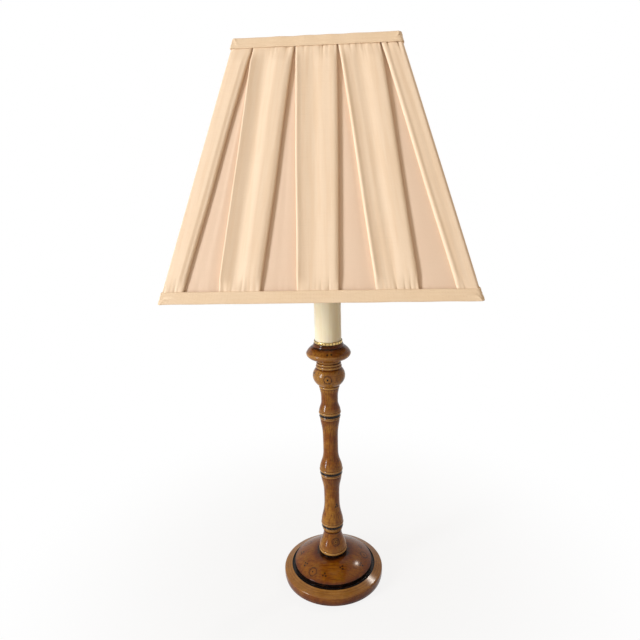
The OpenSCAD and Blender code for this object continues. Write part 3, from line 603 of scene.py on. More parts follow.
def make_base():
    """The round base: eyes and dots on its dome, a dark ring, and a hole at the back for the bushing."""
    line, hollow = turned_line(base_outline(), BASE_STEP)
    eyes, dots = marks(line, "base_disc", 0, 2.1 * MM)
    on_rim = line[:, 0] > DOME_R + RING_CUT_W
    on_slope = ease(np.clip((line[:, 1] - RIM_EDGE_H) / (2 * MM), 0, 1)) * on_rim
    glaze = np.maximum.reduce([
        hollow * (1 - on_rim),
        stained(line, SEAT_R, 5 * MM, 1.1, 0) * (line[:, 0] < DOME_R),
        stained(line, DOME_R, 2.5 * MM, 0.6, 0),
        0.12 + stained(line, foot_of("base_disc") + 2 * MM, 4 * MM, 0.5) * on_rim])
    # The black paint runs a little way out of the ring
    cut = (RIM_TOP_H - 2.4 * MM, DOME_EDGE_H - 0.6 * MM, DOME_R - 0.4 * MM, DOME_R + RING_CUT_W + 0.7 * MM)
    wood = antiqued_wood("base_wood", eyes, (5.3 * MM,), 1.2 * MM, dots, DEEP_HONEY, streak=(0.10, 1, 1))
    # The rim's slope is drawn lighter, and its glaze is left off there
    base = turned_piece(
        "turned_base", "base_disc", line, glaze * (1 - on_slope), 0.5 * on_slope, inked(line, *cut), wood)
    low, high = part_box("cord_bushing")
    middle = (low + high) / 2
    drilled(base, (middle.x, low.y - 2 * MM, middle.z), (0, 1, 0), (high.x - low.x) / 2 + 0.1 * MM, 0.02)


def make_stem():
    """The vase, the three lengths and the cup, each with its grooves, glaze and painted marks."""
    order = list(MARKS)[1:]
    outlines = [length_outline(*pair) for pair in zip(order, order[1:4])] + [upper_outline(), cup_outline()]
    for node, outline in zip(order, outlines):
        vase, cup = node == "foot_vase", node == "candle_cup"
        line, hollow = turned_line(outline)
        z0, top = line[0, 1], line[-1, 1]
        ink = inked(line, z0, z0 + (VASE_GROOVE_H if vase else PAINT_OVER)) * (not cup)
        glaze = np.maximum.reduce([hollow, stained(line, z0, 5 * MM, 0.55), stained(line, top, 9 * MM, 0.75)])
        # Proud edges are lightened, partly as wear and partly as a painted highlight where their rounding
        # catches light
        wear_and_highlight = -(0.48 if cup else 1.2) * hollow
        if cup:
            glaze = np.maximum(glaze, stained(line, top - 4 * MM, 2.5 * MM, 1.0))
        elif node != "upper_section":
            ink = np.maximum(ink, inked(line, top - GROOVE_H - PAINT_OVER, top))
        eyes, dots = marks(line, node)
        if cup:
            dots += [on_surface(line, a, z * MM) for a, z in CUP_DOTS]
        rings, pupil = ((EYE_R, 2.8 * MM), 1.1 * MM) if vase else ((EYE_R,), PUPIL_R)
        turned_piece("turned_" + node, node, line, np.where(wear_and_highlight > 0.2, 0.3 * glaze, glaze), wear_and_highlight, ink,
                     antiqued_wood(node + "_wood", eyes, rings, pupil, dots))


# Shade

SHADE_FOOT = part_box("bottom_band")[0].z
SHADE_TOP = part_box("top_band")[1].z
HALF_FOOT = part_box("bottom_band")[1].x
HALF_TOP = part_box("top_band")[1].x
TOP_BAND_H = SHADE_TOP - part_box("top_band")[0].z
BOTTOM_BAND_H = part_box("bottom_band")[1].z - SHADE_FOOT
# The top band's box is widest at its foot, so its top edge follows from the slope
SLOPE = (HALF_FOOT - HALF_TOP) / (SHADE_TOP - TOP_BAND_H - SHADE_FOOT)
CORNERS = np.array([1.0, 4.2, 2.8, 2.8]) * MM
COVER_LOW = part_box("cover_front")[0].z
COVER_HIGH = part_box("cover_front")[1].z


def half_width(z):
    """Half the width of the shade over its bands, at height z."""
    return HALF_FOOT - SLOPE * (z - SHADE_FOOT)


def round_square(side, share, half, inset):
    """Points on a square with rounded corners.

    side is 0 to 3 from the front, share runs from -1 to 1 along it, half is the square's half-width, and
    inset shrinks the corner's radius. Past the corner's centre the point turns 45 degrees on each side.
    """
    index = np.where(share < 0, side, (side + 1) % 4)
    radius = np.maximum(CORNERS[index] - inset, 0.5 * MM)
    flat = half - radius
    u = share * half
    past = np.clip((np.abs(u) - flat) / radius, 0, 1) * np.pi / 4
    x = np.where(past > 0, np.sign(u) * (flat + radius * np.sin(past)), u)
    y = -(flat + radius * np.cos(past))
    turn = side * np.pi / 2
    return x * np.cos(turn) - y * np.sin(turn), x * np.sin(turn) + y * np.cos(turn)


def four_sides(share):
    """The number of the side, and the share along it, of points that go all round the square."""
    return np.repeat(np.arange(4), len(share))[None], np.tile(share, 4)[None]


PLEATS = 4
PANEL_W = 2 * half_width(SHADE_TOP) / PLEATS - 0.2 * MM
COVER_SET = 1.0 * MM
FOLD_R = 0.95 * MM
FOLD_LEFT_W = 1.7 * MM
FOLD_RIGHT_W = 1.7 * MM
TUCK_FOLD_R = 0.45 * MM
TUCK_FOOT = 3 * MM
COVER_ROWS = 64
SWAY = 0.45 * MM


def clear_of_bands(z):
    """How far cloth at height z hangs clear of the bottom band and of the top band."""
    return np.maximum(z - SHADE_FOOT - BOTTOM_BAND_H, 0), np.maximum(SHADE_TOP - TOP_BAND_H - z, 0)


def soft_folds(rng, x, z, count, width, height):
    """Soft upright folds: a sum of bell curves across x, whose centres drift with the height."""
    v = (z - COVER_LOW) / (COVER_HIGH - COVER_LOW)
    total = 0.0
    for _ in range(count):
        centre, drift = rng.uniform(-1, 1), rng.uniform(-0.18, 0.18)
        wide = width * rng.uniform(0.6, 1.5)
        tall = height * rng.uniform(0.35, 1.0) * rng.choice([-1, 1])
        foot, head = rng.uniform(0.3, 1.0, 2)
        waver = 0.03 * np.sin(2 * np.pi * (v * rng.uniform(0.7, 1.6) + rng.uniform()))
        fade = foot * (1 - v) ** 0.7 + head * v ** 0.7
        total = total + tall * fade * np.exp(-((x - centre - drift * (v - 0.5) - waver) / wide) ** 2)
    return total


def puckers(rng, x, z, count, width, height):
    """Sharp little creases at both bands, where cloth is gathered in: -height exp(-|x - centre| / width)."""
    total = 0.0
    for away in clear_of_bands(z):
        for _ in range(count):
            centre, lean = rng.uniform(-0.95, 0.95), rng.uniform(-0.002, 0.002)
            deep = height * rng.uniform(0.3, 1.0)
            long = rng.uniform(3, 9) * MM
            wide = width * rng.uniform(0.7, 1.4)
            total = total - deep * np.exp(-away / long - np.abs(x - centre - lean * away / MM) / wide)
    return total


# Outward form of a panel in millimetres, across it from -1 to 1: a hollow beside its left fold, then a belly
PANEL_FORM = np.polynomial.Polynomial.fit(
    (-1.0, -0.8, -0.6, -0.4, -0.2, 0.0, 0.25, 0.5, 0.7, 0.85, 1.0),
    (0.95, 0.36, -0.18, -0.45, -0.35, 0.08, 0.74, 1.22, 1.40, 1.42, 0.80), 7)


def panel_relief(panel, x, z):
    """Outward relief of one proud panel, with x from -1 at its left fold to 1 at its right one.

    The form of the panel, a ridge pressed along its left fold, soft folds over the whole height, and puckers
    at both bands. A panel that goes round a corner rises from there to its right fold.
    """
    rng = np.random.default_rng(700 + panel % (4 * PLEATS))
    lean, full = rng.uniform(-0.12, 0.08), rng.uniform(0.85, 1.2)
    if panel % PLEATS:
        belly = MM * full * PANEL_FORM(np.clip(x + lean * (1 - x ** 2), -1, 1))
    else:
        rise = 1.8 * x - 0.9 * ease(np.clip((x - 0.78) / 0.22, 0, 1))
        belly = MM * np.where(x > 0, rise, 0.4 * x ** 2) - 0.3 * MM
    pressed = 0.45 * MM * np.exp(-((x + 1.0) / 0.12) ** 2)
    soft = soft_folds(rng, x, z, 6, 0.20, 0.30 * MM)
    foot, head = clear_of_bands(z)
    lift = ease(np.clip(np.minimum(foot, head) / (14 * MM), 0, 1))
    shape = belly * lift + pressed + soft
    return np.where(shape > 0, shape * (0.1 + 0.9 * lift), shape) + puckers(rng, x, z, 9, 0.045, 0.90 * MM)


def recess_relief(rng, x, z):
    """Outward relief of the open floor of a pleat: nearly flat, with a few puckers at the bands."""
    soft = soft_folds(rng, x, z, 3, 0.25, 0.22 * MM)
    return 0.5 * MM * (1 - x ** 2) + soft + puckers(rng, x, z, 4, 0.06, 0.45 * MM)


def cover_rows():
    """Heights of the cover as shares of its height, closer together near the two bands."""
    t = np.linspace(0, 1, COVER_ROWS)
    return t - 0.11 * np.sin(2 * np.pi * t)


def steps(low, high, count):
    """Count values from low towards high, without high itself, as one row."""
    return np.linspace(low, high, count, endpoint=False)[None]


def pleated_cover():
    """One strip of cloth in box pleats, all round the shade.

    Across the cloth, each pleat runs over half a panel, folds back under it by a tuck, folds again, crosses
    the open floor, and does the same in reverse under the next panel. Panels keep their width. The floor
    widens towards the foot by as much cloth as the four tucks give up, so the strip is as wide at the top as
    at the foot.
    """
    v = cover_rows()[:, None]
    z = COVER_LOW + (COVER_HIGH - COVER_LOW) * v
    half = half_width(z) - COVER_SET
    gap = (2 * half - PLEATS * PANEL_W) / PLEATS
    tuck = TUCK_FOOT + (gap[0] - gap) / 4
    floor_depth = 2 * FOLD_R + 2 * TUCK_FOLD_R
    t_panel, t_tuck, t_floor = steps(0, 1, 24), steps(0, 1, 2), steps(-1, 1, 22)
    fold, tight = np.radians(steps(-90, 90, 5)), np.radians(steps(-90, 90, 2))
    level = 0 * v

    def half_pleat(panel, centre, edge, sign):
        """From a panel's middle to the floor beside it. sign is 1 to its right and -1 to its left."""
        round_w = FOLD_RIGHT_W if sign > 0 else FOLD_LEFT_W
        turn = edge - sign * round_w
        across = [
            centre + (turn - centre) * t_panel,
            turn + sign * round_w * np.cos(fold),
            turn - sign * tuck * t_tuck,
            turn - sign * (tuck + TUCK_FOLD_R * np.cos(tight)),
            turn - sign * tuck * (1 - t_tuck)]
        relief = panel_relief(panel, sign * np.concatenate([t_panel, 1 + 0 * fold], 1) + level, z)
        bulge = relief[:, t_panel.shape[1]:] * np.cos(fold / 2 + np.pi / 4)
        depth = [
            level - relief[:, :t_panel.shape[1]],
            level + FOLD_R * (1 + np.sin(fold)) - bulge,
            level + 2 * FOLD_R + 0 * t_tuck,
            level + 2 * FOLD_R + TUCK_FOLD_R * (1 + np.sin(tight)),
            level + floor_depth + 0 * t_tuck]
        return np.concatenate(across, 1), np.concatenate(depth, 1)

    rng = np.random.default_rng(41)
    parts = []
    for k in range(4 * PLEATS):
        side, cell = divmod(k, PLEATS)
        sway = [
            SWAY * np.sin(2 * np.pi * (v * rng.uniform(0.5, 1.4) + rng.uniform())) * np.sin(np.pi * v)
            for _ in range(2)]
        here = -half + cell * (PANEL_W + gap)
        there = here + PANEL_W + gap
        left = here + PANEL_W / 2 + sway[0]
        right = there - PANEL_W / 2 + sway[1] * ease(np.clip(gap / (4 * MM), 0, 1))
        a_across, a_depth = half_pleat(k, here, left, 1)
        b_across, b_depth = half_pleat(k + 1, there, right, -1)
        middle, reach = (left + right) / 2, (right - left) / 2 + FOLD_R
        f_across = middle + reach * t_floor
        f_depth = floor_depth - recess_relief(rng, level + t_floor, z) * ease(np.clip(gap / (20 * MM), 0, 1))
        across = np.concatenate([a_across, f_across, b_across[:, :0:-1]], 1)
        depth = np.concatenate([a_depth, f_depth, b_depth[:, :0:-1]], 1)
        sunk = np.concatenate([0 * a_across, 1 + 0 * f_across, 0 * b_across[:, 1:]], 1)
        x, y = round_square(side, across / half, half - depth, COVER_SET + depth)
        parts.append(joined(x, y, z, sunk))
    whole = np.concatenate(parts, 1)
    points = whole[:, :, :3]
    closed = np.concatenate([points, points[:, :1]], 1)
    flat_u = np.concatenate([[0], np.cumsum(np.linalg.norm(np.diff(closed[0], axis=0), axis=1))])
    slant = (COVER_HIGH - COVER_LOW) * math.hypot(1, SLOPE)
    uv = joined(flat_u, slant * v)
    piece = grid_mesh(
        "pleated_cover", points, wrap_columns=True, uv=uv, attributes={"recess": whole[:, :, 3]})
    return piece, (float(flat_u[-1]), slant)


def tape_profile(tall):
    """Closed outline of a tape folded over a wire, as (depth, height) points.

    The outline is a U on its side: down the outer face, round the edge, up the inner face, and back inside.
    The outer face has a turned-in hem at its open edge and two faint lengthwise folds.
    """
    wall, reach, r = 0.8 * MM, 11 * MM, 1.6 * MM
    t = np.radians(np.linspace(0, 90, 7))
    u = np.linspace(0, 1, 34)
    hem = 0.22 * MM * np.exp(-((u - 0.10) / 0.07) ** 2)
    folds = 0.10 * MM * np.cos(2 * np.pi * 2.5 * u)
    skin = np.concatenate([
        np.stack([0.1 * MM - hem - folds * np.sin(np.pi * u), tall + (r - tall) * u], 1),
        np.stack([r - r * np.cos(t), r - r * np.sin(t)], 1)[1:],
        np.stack([reach - r + r * np.sin(t), r - r * np.cos(t)], 1),
        np.stack([np.full(6, reach), np.linspace(r, tall - 1.5 * MM, 6)], 1)[1:]])
    back = (skin - wall * right_of(skin))[::-1]
    ends = [(a + b) / 2 + (0, 0.3 * wall) for a, b in ((skin[-1], back[0]), (skin[0], back[-1]))]
    return np.concatenate([skin, ends[:1], back, ends[1:]])


def band(name, z_low, z_high, upper):
    """Cloth tape round an edge of the shade: its profile carried round the square, with a slight waver."""
    loop = tape_profile(z_high - z_low)
    depth, high = loop[:, :1], loop[:, 1:]
    z = z_high - high if upper else z_low + high
    near = np.array([0.3, 0.7, 1.1, 1.6, 2.2, 2.9, 3.7, 4.6, 6.0]) * MM / half_width((z_low + z_high) / 2)
    side, share = four_sides(np.concatenate([[-1], near - 1, np.linspace(-0.9, 0.9, 41), 1 - near[::-1]]))
    rng = np.random.default_rng(9 if upper else 5)
    waver = sum(0.12 * MM * np.sin(2 * np.pi * (side + share / 2) * rng.integers(1, 9) + rng.uniform(0, 6))
                for _ in range(4))
    off_mitre = half_width(z) * (1 - np.abs(share)) - 1.5 * MM - 0.7 * high
    mitre = 0.45 * MM * np.exp(-(off_mitre / (0.7 * MM)) ** 2)
    z = z + waver * 0.6
    half = half_width(z) - depth + waver * 0.5 + mitre * (depth < 2 * MM)
    x, y = round_square(side, share, half, depth)
    around = np.linspace(0, 8 * HALF_FOOT, share.shape[1] + 1)
    length = np.concatenate([[0], np.cumsum(np.hypot(*np.diff(np.concatenate([loop, loop[:1]]), axis=0).T))])
    uv = joined(around, length[:, None])
    return grid_mesh(name, joined(x, y, z), wrap_rows=True, wrap_columns=True, uv=uv)


def lining_sheet():
    """The lining inside the frame: a slightly slack sheet, with faint folds that rise from its foot."""
    low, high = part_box("shade_lining")
    z = np.linspace(low.z, high.z, 40)[:, None]
    side, share = four_sides(np.linspace(-1, 1, 60, endpoint=False))
    inset = half_width(low.z) - high.x + 0.3 * MM
    v = (z - low.z) / (high.z - low.z)
    rng = np.random.default_rng(3)
    turns = (side + share / 2) / 4
    folds = sum(
        0.22 * MM * np.cos(2 * np.pi * rng.integers(9, 60) * turns + rng.uniform(0, 6) + 0.8 * v)
        for _ in range(6))
    slack = 0.8 * MM * np.sin(np.pi * v) * (1 - share ** 2)
    half = half_width(z) - inset - (slack + folds * np.sin(np.pi * np.clip(v, 0.06, 0.94))) * (1 - share ** 8)
    x, y = round_square(side, share, half, inset)
    slope = math.hypot(1, SLOPE)
    around = np.linspace(0, 8 * half_width(low.z), x.shape[1] + 1)
    uv = joined(around, (z - low.z) * slope)
    piece = grid_mesh("lining", joined(x, y, z), wrap_columns=True, uv=uv)
    slant = (high.z - low.z) * slope
    wide, narrow = (8 * (half_width(end.z) - inset) for end in (low, high))
    return piece, (wide, slant), (wide + narrow) / 2 * slant


def cloth_material(name, panel, recess, weave=0.5, slub=0.5):
    """Plain-woven cloth: fine threads both ways, thicker slubs along some of them, and a soft sheen."""
    s = Shader(name)
    warp = s.noise(s.cloth((1, 0.05, 1)), 2600, detail=1)
    weft = s.noise(s.cloth((0.05, 1, 1)), 2400, detail=1)
    slubs = s.noise(s.cloth((0.04, 1, 1)), 900, detail=2, roughness=0.6)
    drawn = s.noise(s.cloth((1, 0.06, 1)), 210, detail=2, roughness=0.6)
    cloud = s.noise(s.place(), 22, detail=2)
    shade = tuple(a * b for a, b in zip(panel, (0.93, 0.87, 0.79)))
    colour = s.mix(s.step(drawn, 0.40, 0.66, 0.0, 0.45), panel, shade)
    if recess:
        colour = s.mix(s.attribute("recess"), colour, recess)
    colour = s.mix(s.step(slubs, 0.50, 0.72, 0.0, 0.12), colour, tuple(0.84 * c for c in panel))
    colour = s.mix(s.step(cloud, 0.3, 0.7, 0.0, 0.08), colour, (0.93, 0.80, 0.62))
    threads = s.math("ADD", s.math("MULTIPLY", warp, weave), s.math("MULTIPLY", weft, weave))
    height = s.math("ADD", threads, s.math("MULTIPLY", slubs, slub))
    return s.set(
        Base_Color=colour,
        Roughness=s.step(warp, 0.3, 0.7, 0.52, 0.66),
        Sheen_Weight=0.15,
        Sheen_Roughness=0.4,
        Sheen_Tint=(1.0, 0.93, 0.82),
        IOR=1.40,
        Normal=s.bump(height, 0.08 * MM, 0.5))


def band_material():
    """Ribbed tape: fine ribs across the tape over a faint weave."""
    s = Shader("band_cloth_ribbed")
    ribs = s.node("ShaderNodeTexWave", {
        "Vector": s.cloth(), "Scale": 160.0, "Distortion": 0.6, "Detail": 1.0},
        wave_type="BANDS", bands_direction="X")
    fine = s.noise(s.cloth((1, 0.1, 1)), 900, detail=2)
    along = s.noise(s.cloth((0.05, 1, 1)), 700, detail=2)
    cloud = s.noise(s.place(), 30, detail=2)
    colour = s.mix(s.step(cloud, 0.3, 0.7, 0.0, 0.5), (0.87, 0.665, 0.450), (0.89, 0.700, 0.500))
    colour = s.mix(s.step(fine, 0.4, 0.7, 0.0, 0.10), colour, (0.72, 0.52, 0.33))
    colour = s.mix(s.step(along, 0.45, 0.7, 0.0, 0.18), colour, (0.90, 0.74, 0.53))
    height = s.math("ADD", s.math("MULTIPLY", ribs, 0.6), s.math("ADD", fine, along))
    return s.set(Base_Color=colour, Roughness=0.62, Sheen_Weight=0.15, Sheen_Roughness=0.4, IOR=1.40,
          Sheen_Tint=(1.0, 0.94, 0.84), Normal=s.bump(height, 0.10 * MM, 0.5))


def make_shade():
    """Cover, bands and lining of the shade."""
    cover, flat = pleated_cover()
    finish_piece(
        cover, "shade", cloth_material("shade_cloth_pleated", (0.91, 0.715, 0.520), (0.86, 0.650, 0.485)),
        "shade_cloth", "cover_front", "cover_right", "cover_back", "cover_left")
    tape = band_material()
    for name, node, z_low, z_high, upper in (
            ("top_tape", "top_band", SHADE_TOP - TOP_BAND_H, SHADE_TOP, True),
            ("bottom_tape", "bottom_band", SHADE_FOOT, SHADE_FOOT + BOTTOM_BAND_H, False)):
        piece = band(name, z_low, z_high, upper)
        finish_piece(piece, "shade", tape, "band_cloth", node)
    lining, flat, area = lining_sheet()
    finish_piece(
        lining, "shade", cloth_material("lining_plain", (0.87, 0.80, 0.68), None, 0.4, 0.2),
        "lining_cloth", "shade_lining")


# Candle sleeve and its ring

RING_SEGMENTS = 26
RING_PROUD = 0.5 * MM
RING_PINCH = 0.34 * MM
SLIP_FIT = 0.15 * MM


def candle_sleeve():
    """The ivory sleeve: a tube with a soft rim, whose wall swells and dips by a hair like cast wax."""
    low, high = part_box("candle_sleeve")
    r, wall = high.x - 0.06 * MM, 1.6 * MM
    edge = arc(r - wall / 2, high.z - wall / 2, wall / 2, wall / 2, 0, 180)
    loop = np.concatenate([[[r - wall, low.z], [r, low.z]], edge])
    loop = resample_loop(loop, 1.5 * MM)
    swell = 0.05 * MM * (np.sin(loop[:, 1] * 140) + np.sin(loop[:, 1] * 333 + 1))
    loop[:, 0] += np.where(loop[:, 0] > r - wall / 2, swell - 0.1 * MM, 0)
    return revolve("ivory_sleeve", loop, 128)


def embossed_ring():
    """The brass ring: a turned cup whose bead is pinched at even steps round the rod."""
    low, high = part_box("sleeve_ring")
    outer, bore = high.x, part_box("threaded_rod")[1].x + SLIP_FIT
    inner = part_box("candle_sleeve")[1].x + SLIP_FIT
    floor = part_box("candle_sleeve")[0].z
    neck = outer - RING_PROUD
    face = bead(neck, low.z + 0.2 * MM, high.z, RING_PROUD)
    inside = [[inner, high.z], [inner, floor], [bore, floor]]
    loop = resample_loop(np.concatenate([[[bore, low.z], [neck, low.z]], face, inside]), 0.22 * MM)
    sides = RING_SEGMENTS * 16
    a = np.linspace(0, 2 * np.pi, sides, endpoint=False)
    pinch = np.exp(-(np.sin(a * RING_SEGMENTS / 2) / 0.42) ** 2)
    bulge = np.clip((loop[:, :1] - neck) / RING_PROUD, 0, 1)
    edge = np.clip(1.5 - 1.6 * bulge, 0, 1)
    # Dark in the pinches and at the bead's edges: partly tarnish, partly painted shadow and painted dark
    # reflections
    tarnish_and_shade = np.maximum(pinch * bulge, edge * (loop[:, :1] > inner))
    return revolve("embossed_ring", loop, sides, {"tarnish_and_shade": tarnish_and_shade}, RING_PINCH * pinch * bulge)


def ring_material():
    """Polished brass, dark in its pinches and along its bead's edges, where polish never reaches: partly
    tarnish, partly painted shadow and painted dark reflections.
    """
    s = Shader("brass_embossed")
    patch = s.noise(s.place(), 400, detail=3)
    dark = s.math("MULTIPLY", s.attribute("tarnish_and_shade"), s.step(patch, 0.25, 0.6, 1.2, 0.8), clamp=True)
    brass = s.mix(s.step(patch, 0.4, 0.7), (0.72, 0.52, 0.22), (0.56, 0.37, 0.12))
    return s.set(Base_Color=s.mix(dark, brass, (0.040, 0.016, 0.006)),
          Metallic=s.step(dark, 0.3, 1.0, 1.0, 0.45), Roughness=s.step(dark, 0.0, 1.0, 0.20, 0.5))


def ivory_material():
    """Ivory plastic that lets a little light in, with faint upright streaks."""
    s = Shader("sleeve_ivory")
    streak = s.noise(s.place((1, 1, 0.08)), 260, detail=3)
    peel = s.noise(s.place(), 700, detail=2)
    return s.set(
        Base_Color=s.mix(s.step(streak, 0.35, 0.7), (0.90, 0.815, 0.62), (0.86, 0.755, 0.53)),
        Roughness=s.step(peel, 0.3, 0.7, 0.38, 0.48),
        IOR=1.38,
        Subsurface_Weight=0.25,
        Subsurface_Radius=(1.0, 0.6, 0.3),
        Subsurface_Scale=2.5 * MM,
        Normal=s.bump(peel, 0.02 * MM, 0.3))


# Felt

def felt_pad():
    """A round felt pad with a soft edge: a closed profile turned round the rod, down to its middle."""
    low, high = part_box("base_felt")
    r, t = high.x, high.z - low.z
    edge = arc(r - t / 2, t / 2, t / 2, t / 2, -90, 90)
    loop = np.concatenate([[[0.02 * MM, 0]], edge, [[0.02 * MM, t]]])
    return revolve("felt_pad", resample(loop, 0.5 * MM), 128), r


def felt_material():
    """Green felt: short matted fibres as fine noise in colour and height."""
    s = Shader("green_felt_matted")
    place = s.place()
    fibre = s.noise(place, 1500, detail=4, roughness=0.7)
    clump = s.noise(place, 180, detail=3)
    colour = s.mix(s.step(fibre, 0.3, 0.7), (0.018, 0.075, 0.030), (0.045, 0.14, 0.06))
    colour = s.mix(s.step(clump, 0.4, 0.7, 0.0, 0.5), colour, (0.02, 0.06, 0.03))
    return s.set(Base_Color=colour, Roughness=0.95, Sheen_Weight=0.5, Sheen_Roughness=0.6,
          Sheen_Tint=(0.6, 0.8, 0.6), Normal=s.bump(fibre, 0.3 * MM, 0.7))


# Metals and mouldings

def metal(name, bright, dark, roughness, patches=90, wear=0.5, brushed=(1, 1, 1), relief=0.03 * MM):
    """Metal, tarnished in soft patches, with fine scratches along one direction."""
    s = Shader(name)
    place = s.place()
    patch = s.noise(place, patches, detail=4, roughness=0.6)
    scratch = s.noise(s.place(brushed), 1400, detail=2)
    colour = s.mix(s.step(patch, 0.45, 0.75, 0.0, wear), bright, dark)
    rough = s.step(scratch, 0.3, 0.7, roughness * 0.8, roughness * 1.35)
    return s.set(Base_Color=colour, Metallic=1.0, Roughness=rough, Normal=s.bump(scratch, relief, 0.4))


def moulded(name, colour, shade, roughness, coat=0.0):
    """Moulded plastic or porcelain: a slightly uneven colour and a faint orange-peel surface."""
    s = Shader(name)
    place = s.place()
    cloud = s.noise(place, 60, detail=3)
    peel = s.noise(place, 700, detail=2)
    return s.set(
        Base_Color=s.mix(s.step(cloud, 0.3, 0.7), colour, shade),
        Roughness=s.step(peel, 0.3, 0.7, roughness * 0.85, roughness * 1.2),
        Coat_Weight=coat, Coat_Roughness=0.1,
        Normal=s.bump(peel, 0.03 * MM, 0.3))


def frosted_glass():
    """Soft-white bulb glass."""
    s = Shader("bulb_glass_frosted")
    mist = s.noise(s.place(), 500, detail=2)
    return s.set(
        Base_Color=s.mix(s.step(mist, 0.3, 0.7, 0.0, 0.4), (0.93, 0.93, 0.90), (0.86, 0.86, 0.83)),
        Roughness=s.step(mist, 0.3, 0.7, 0.22, 0.34),
        Coat_Weight=0.3, Coat_Roughness=0.05,
        Subsurface_Weight=0.2, Subsurface_Radius=(1.0, 1.0, 1.0), Subsurface_Scale=2 * MM)


def grainy(name, dark, light, scale, roughness, relief, strength, stretch=(1, 1, 1), metallic=0.0):
    """A rough material whose colour and height follow one noise."""
    s = Shader(name)
    grain = s.noise(s.place(stretch), scale, detail=4, roughness=0.7)
    return s.set(Base_Color=s.mix(s.step(grain, 0.35, 0.7), dark, light), Metallic=metallic,
                 Roughness=roughness, Normal=s.bump(grain, relief, strength))


def dress_cad_nodes():
    """Gives each CAD node that stays in view its own finish."""
    brass = metal("brass_polished", (0.80, 0.56, 0.20), (0.22, 0.12, 0.04), 0.16, patches=160, wear=0.75,
                  brushed=(1, 1, 6))
    plated = metal("brass_plated", (0.72, 0.52, 0.24), (0.40, 0.27, 0.12), 0.28, brushed=(1, 1, 0.2))
    wire = metal("wire_plated", (0.66, 0.52, 0.30), (0.36, 0.25, 0.14), 0.34)
    zinc = metal("steel_zinc", (0.60, 0.61, 0.63), (0.38, 0.38, 0.38), 0.32)
    tungsten = metal("tungsten_fine", (0.28, 0.27, 0.26), (0.16, 0.15, 0.15), 0.4)
    aluminium = metal("aluminium_spun", (0.74, 0.74, 0.75), (0.5, 0.5, 0.5), 0.25, brushed=(1, 1, 8))
    brown = moulded("plastic_brown", (0.045, 0.018, 0.008), (0.03, 0.012, 0.006), 0.3, coat=0.3)
    phenolic = moulded("phenolic_black", (0.02, 0.015, 0.012), (0.03, 0.022, 0.018), 0.5)
    black_glass = moulded("glass_black", (0.012, 0.012, 0.013), (0.02, 0.02, 0.02), 0.12, coat=0.6)
    fibre = grainy("fibre_pressed", (0.22, 0.14, 0.07), (0.36, 0.26, 0.15), 900, 0.9, 0.08 * MM, 0.5,
                   stretch=(1, 1, 0.3))
    iron = grainy("iron_cast", (0.035, 0.035, 0.037), (0.08, 0.075, 0.07), 800, 0.7, 0.25 * MM, 0.8,
                  metallic=0.6)
    finishes = {
        brass: ("sleeve_cap", "socket_cap", "socket_shell", "finial"),
        plated: ("harp_saddle", "screw_shell", "centre_contact", "terminal_screws", "switch_shaft",
                 "harp_wire", "harp_stud", "ferrule_left", "ferrule_right"),
        wire: ("spider", "top_frame", "bottom_frame", "corner_ribs"),
        zinc: ("rod_washer", "rod_nut", "threaded_rod"),
        tungsten: ("bulb_filament",),
        aluminium: ("bulb_contact", "bulb_cap"),
        brown: ("cord_bushing", "switch_knob"),
        phenolic: ("socket_body",),
        black_glass: ("bulb_insulator",),
        frosted_glass(): ("bulb_glass", "bulb_stem"),
        fibre: ("socket_liner",),
        iron: ("base_weight",)}
    for material, names in finishes.items():
        for name in names:
            nodes[name].data.materials.clear()
            nodes[name].data.materials.append(material)


# Camera, floor and light

WHITE = (1, 1, 1)


def make_camera():
    """Turns the camera by yaw, pitch and roll, with no shift."""
    data = bpy.data.cameras.new("camera")
    data.sensor_width = SENSOR_MM
    data.lens = CAMERA_FOCAL_PX * SENSOR_MM / IMAGE_PX
    data.clip_start, data.clip_end = 0.01, 50
    camera = bpy.data.objects.new("camera", data)
    camera.matrix_world = (
        Matrix.Translation(CAMERA_PLACE) @ Matrix.Rotation(CAMERA_YAW, 4, "Z")
        @ Matrix.Rotation(math.pi / 2 - CAMERA_PITCH, 4, "X") @ Matrix.Rotation(CAMERA_ROLL, 4, "Z"))
    bpy.context.scene.collection.objects.link(camera)
    bpy.context.scene.camera = camera


def soft_light(name, direction, distance, size, power, colour):
    """An oval lamp that faces the middle of the lamp stand from a direction."""
    aim = Vector((0, 0, 0.33))
    data = bpy.data.lights.new(name, "AREA")
    data.shape = "ELLIPSE"
    data.size, data.size_y = size
    data.energy = power
    data.color = colour
    lamp = bpy.data.objects.new(name, data)
    away = Vector(direction).normalized()
    lamp.location = aim + away * distance
    lamp.rotation_euler = away.to_track_quat("Z", "Y").to_euler()
    bpy.context.scene.collection.objects.link(lamp)


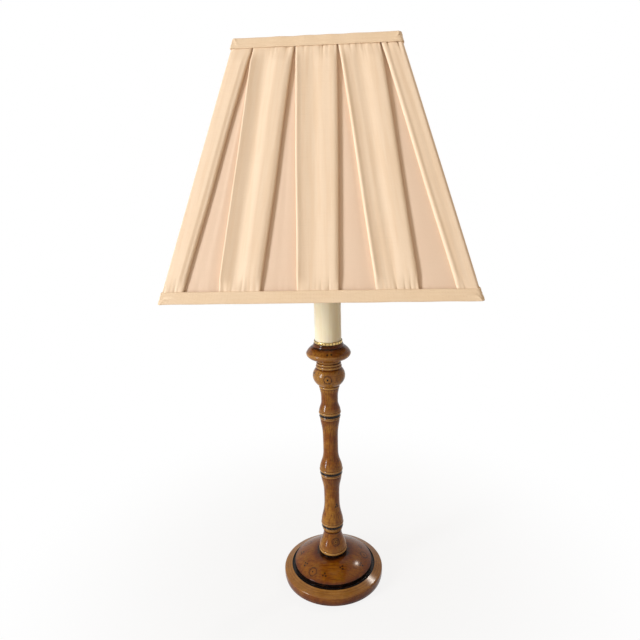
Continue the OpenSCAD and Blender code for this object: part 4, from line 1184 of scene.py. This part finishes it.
def make_world(fill):
    """A soft fill, and plain white where the camera, gloss and glass look at it."""
    world = bpy.data.worlds.new("studio")
    bpy.context.scene.world = world
    s = Nodes(world)
    soft = s.node("ShaderNodeBackground", {"Color": fill})
    white = s.node("ShaderNodeBackground", {"Color": WHITE})
    seen = s.looked_at("Is Camera Ray", "Is Glossy Ray", "Is Transmission Ray")
    s.end_in("ShaderNodeOutputWorld", seen, soft, white)


def make_floor():
    """A plain pale floor that keeps a faint shadow near the lamp and turns white further out."""
    a = np.linspace(0, 2 * np.pi, 96, endpoint=False)
    r = np.array([0.001, 0.2, 0.6, 1.5, 6.0])[:, None]
    points = joined(r * np.cos(a), r * np.sin(a), -0.2 * MM)
    floor = grid_mesh("floor", points[::-1], wrap_columns=True)
    material = bpy.data.materials.new("floor_pale")
    s = Nodes(material)
    whiter = s.step(s.length(s.place()), 0.08, 0.5, 0.85, 1.0)
    share = s.math("MULTIPLY", s.looked_at("Is Camera Ray", "Is Glossy Ray"), whiter)
    matt = s.node("ShaderNodeBsdfDiffuse", {"Color": (0.72, 0.71, 0.70)})
    white = s.node("ShaderNodeEmission", {"Color": WHITE})
    s.end_in("ShaderNodeOutputMaterial", share, matt, white)
    floor.data.materials.append(material)


def make_light():
    """A tall window on the left, a small lamp behind on the right, and a warm fill all round."""
    make_world((0.455, 0.372, 0.285))
    soft_light("window", (-0.80, -0.50, 0.20), 3.4, (0.75, 2.05), 103, (0.96, 1.0, 1.05))
    soft_light("small_lamp", (0.58, 0.50, 0.64), 1.6, (0.14, 0.14), 4.2, (1.0, 0.95, 0.88))
    bpy.context.scene.view_settings.view_transform = "Standard"


make_camera()
make_light()
make_floor()
make_base()
make_stem()
make_shade()
finish_piece(candle_sleeve(), "root", ivory_material(), "ivory_sleeve", "candle_sleeve")
finish_piece(embossed_ring(), "root", ring_material(), "polished_brass", "sleeve_ring")
felt, felt_r = felt_pad()
finish_piece(felt, "root", felt_material(), "green_felt", "base_felt")
dress_cad_nodes()
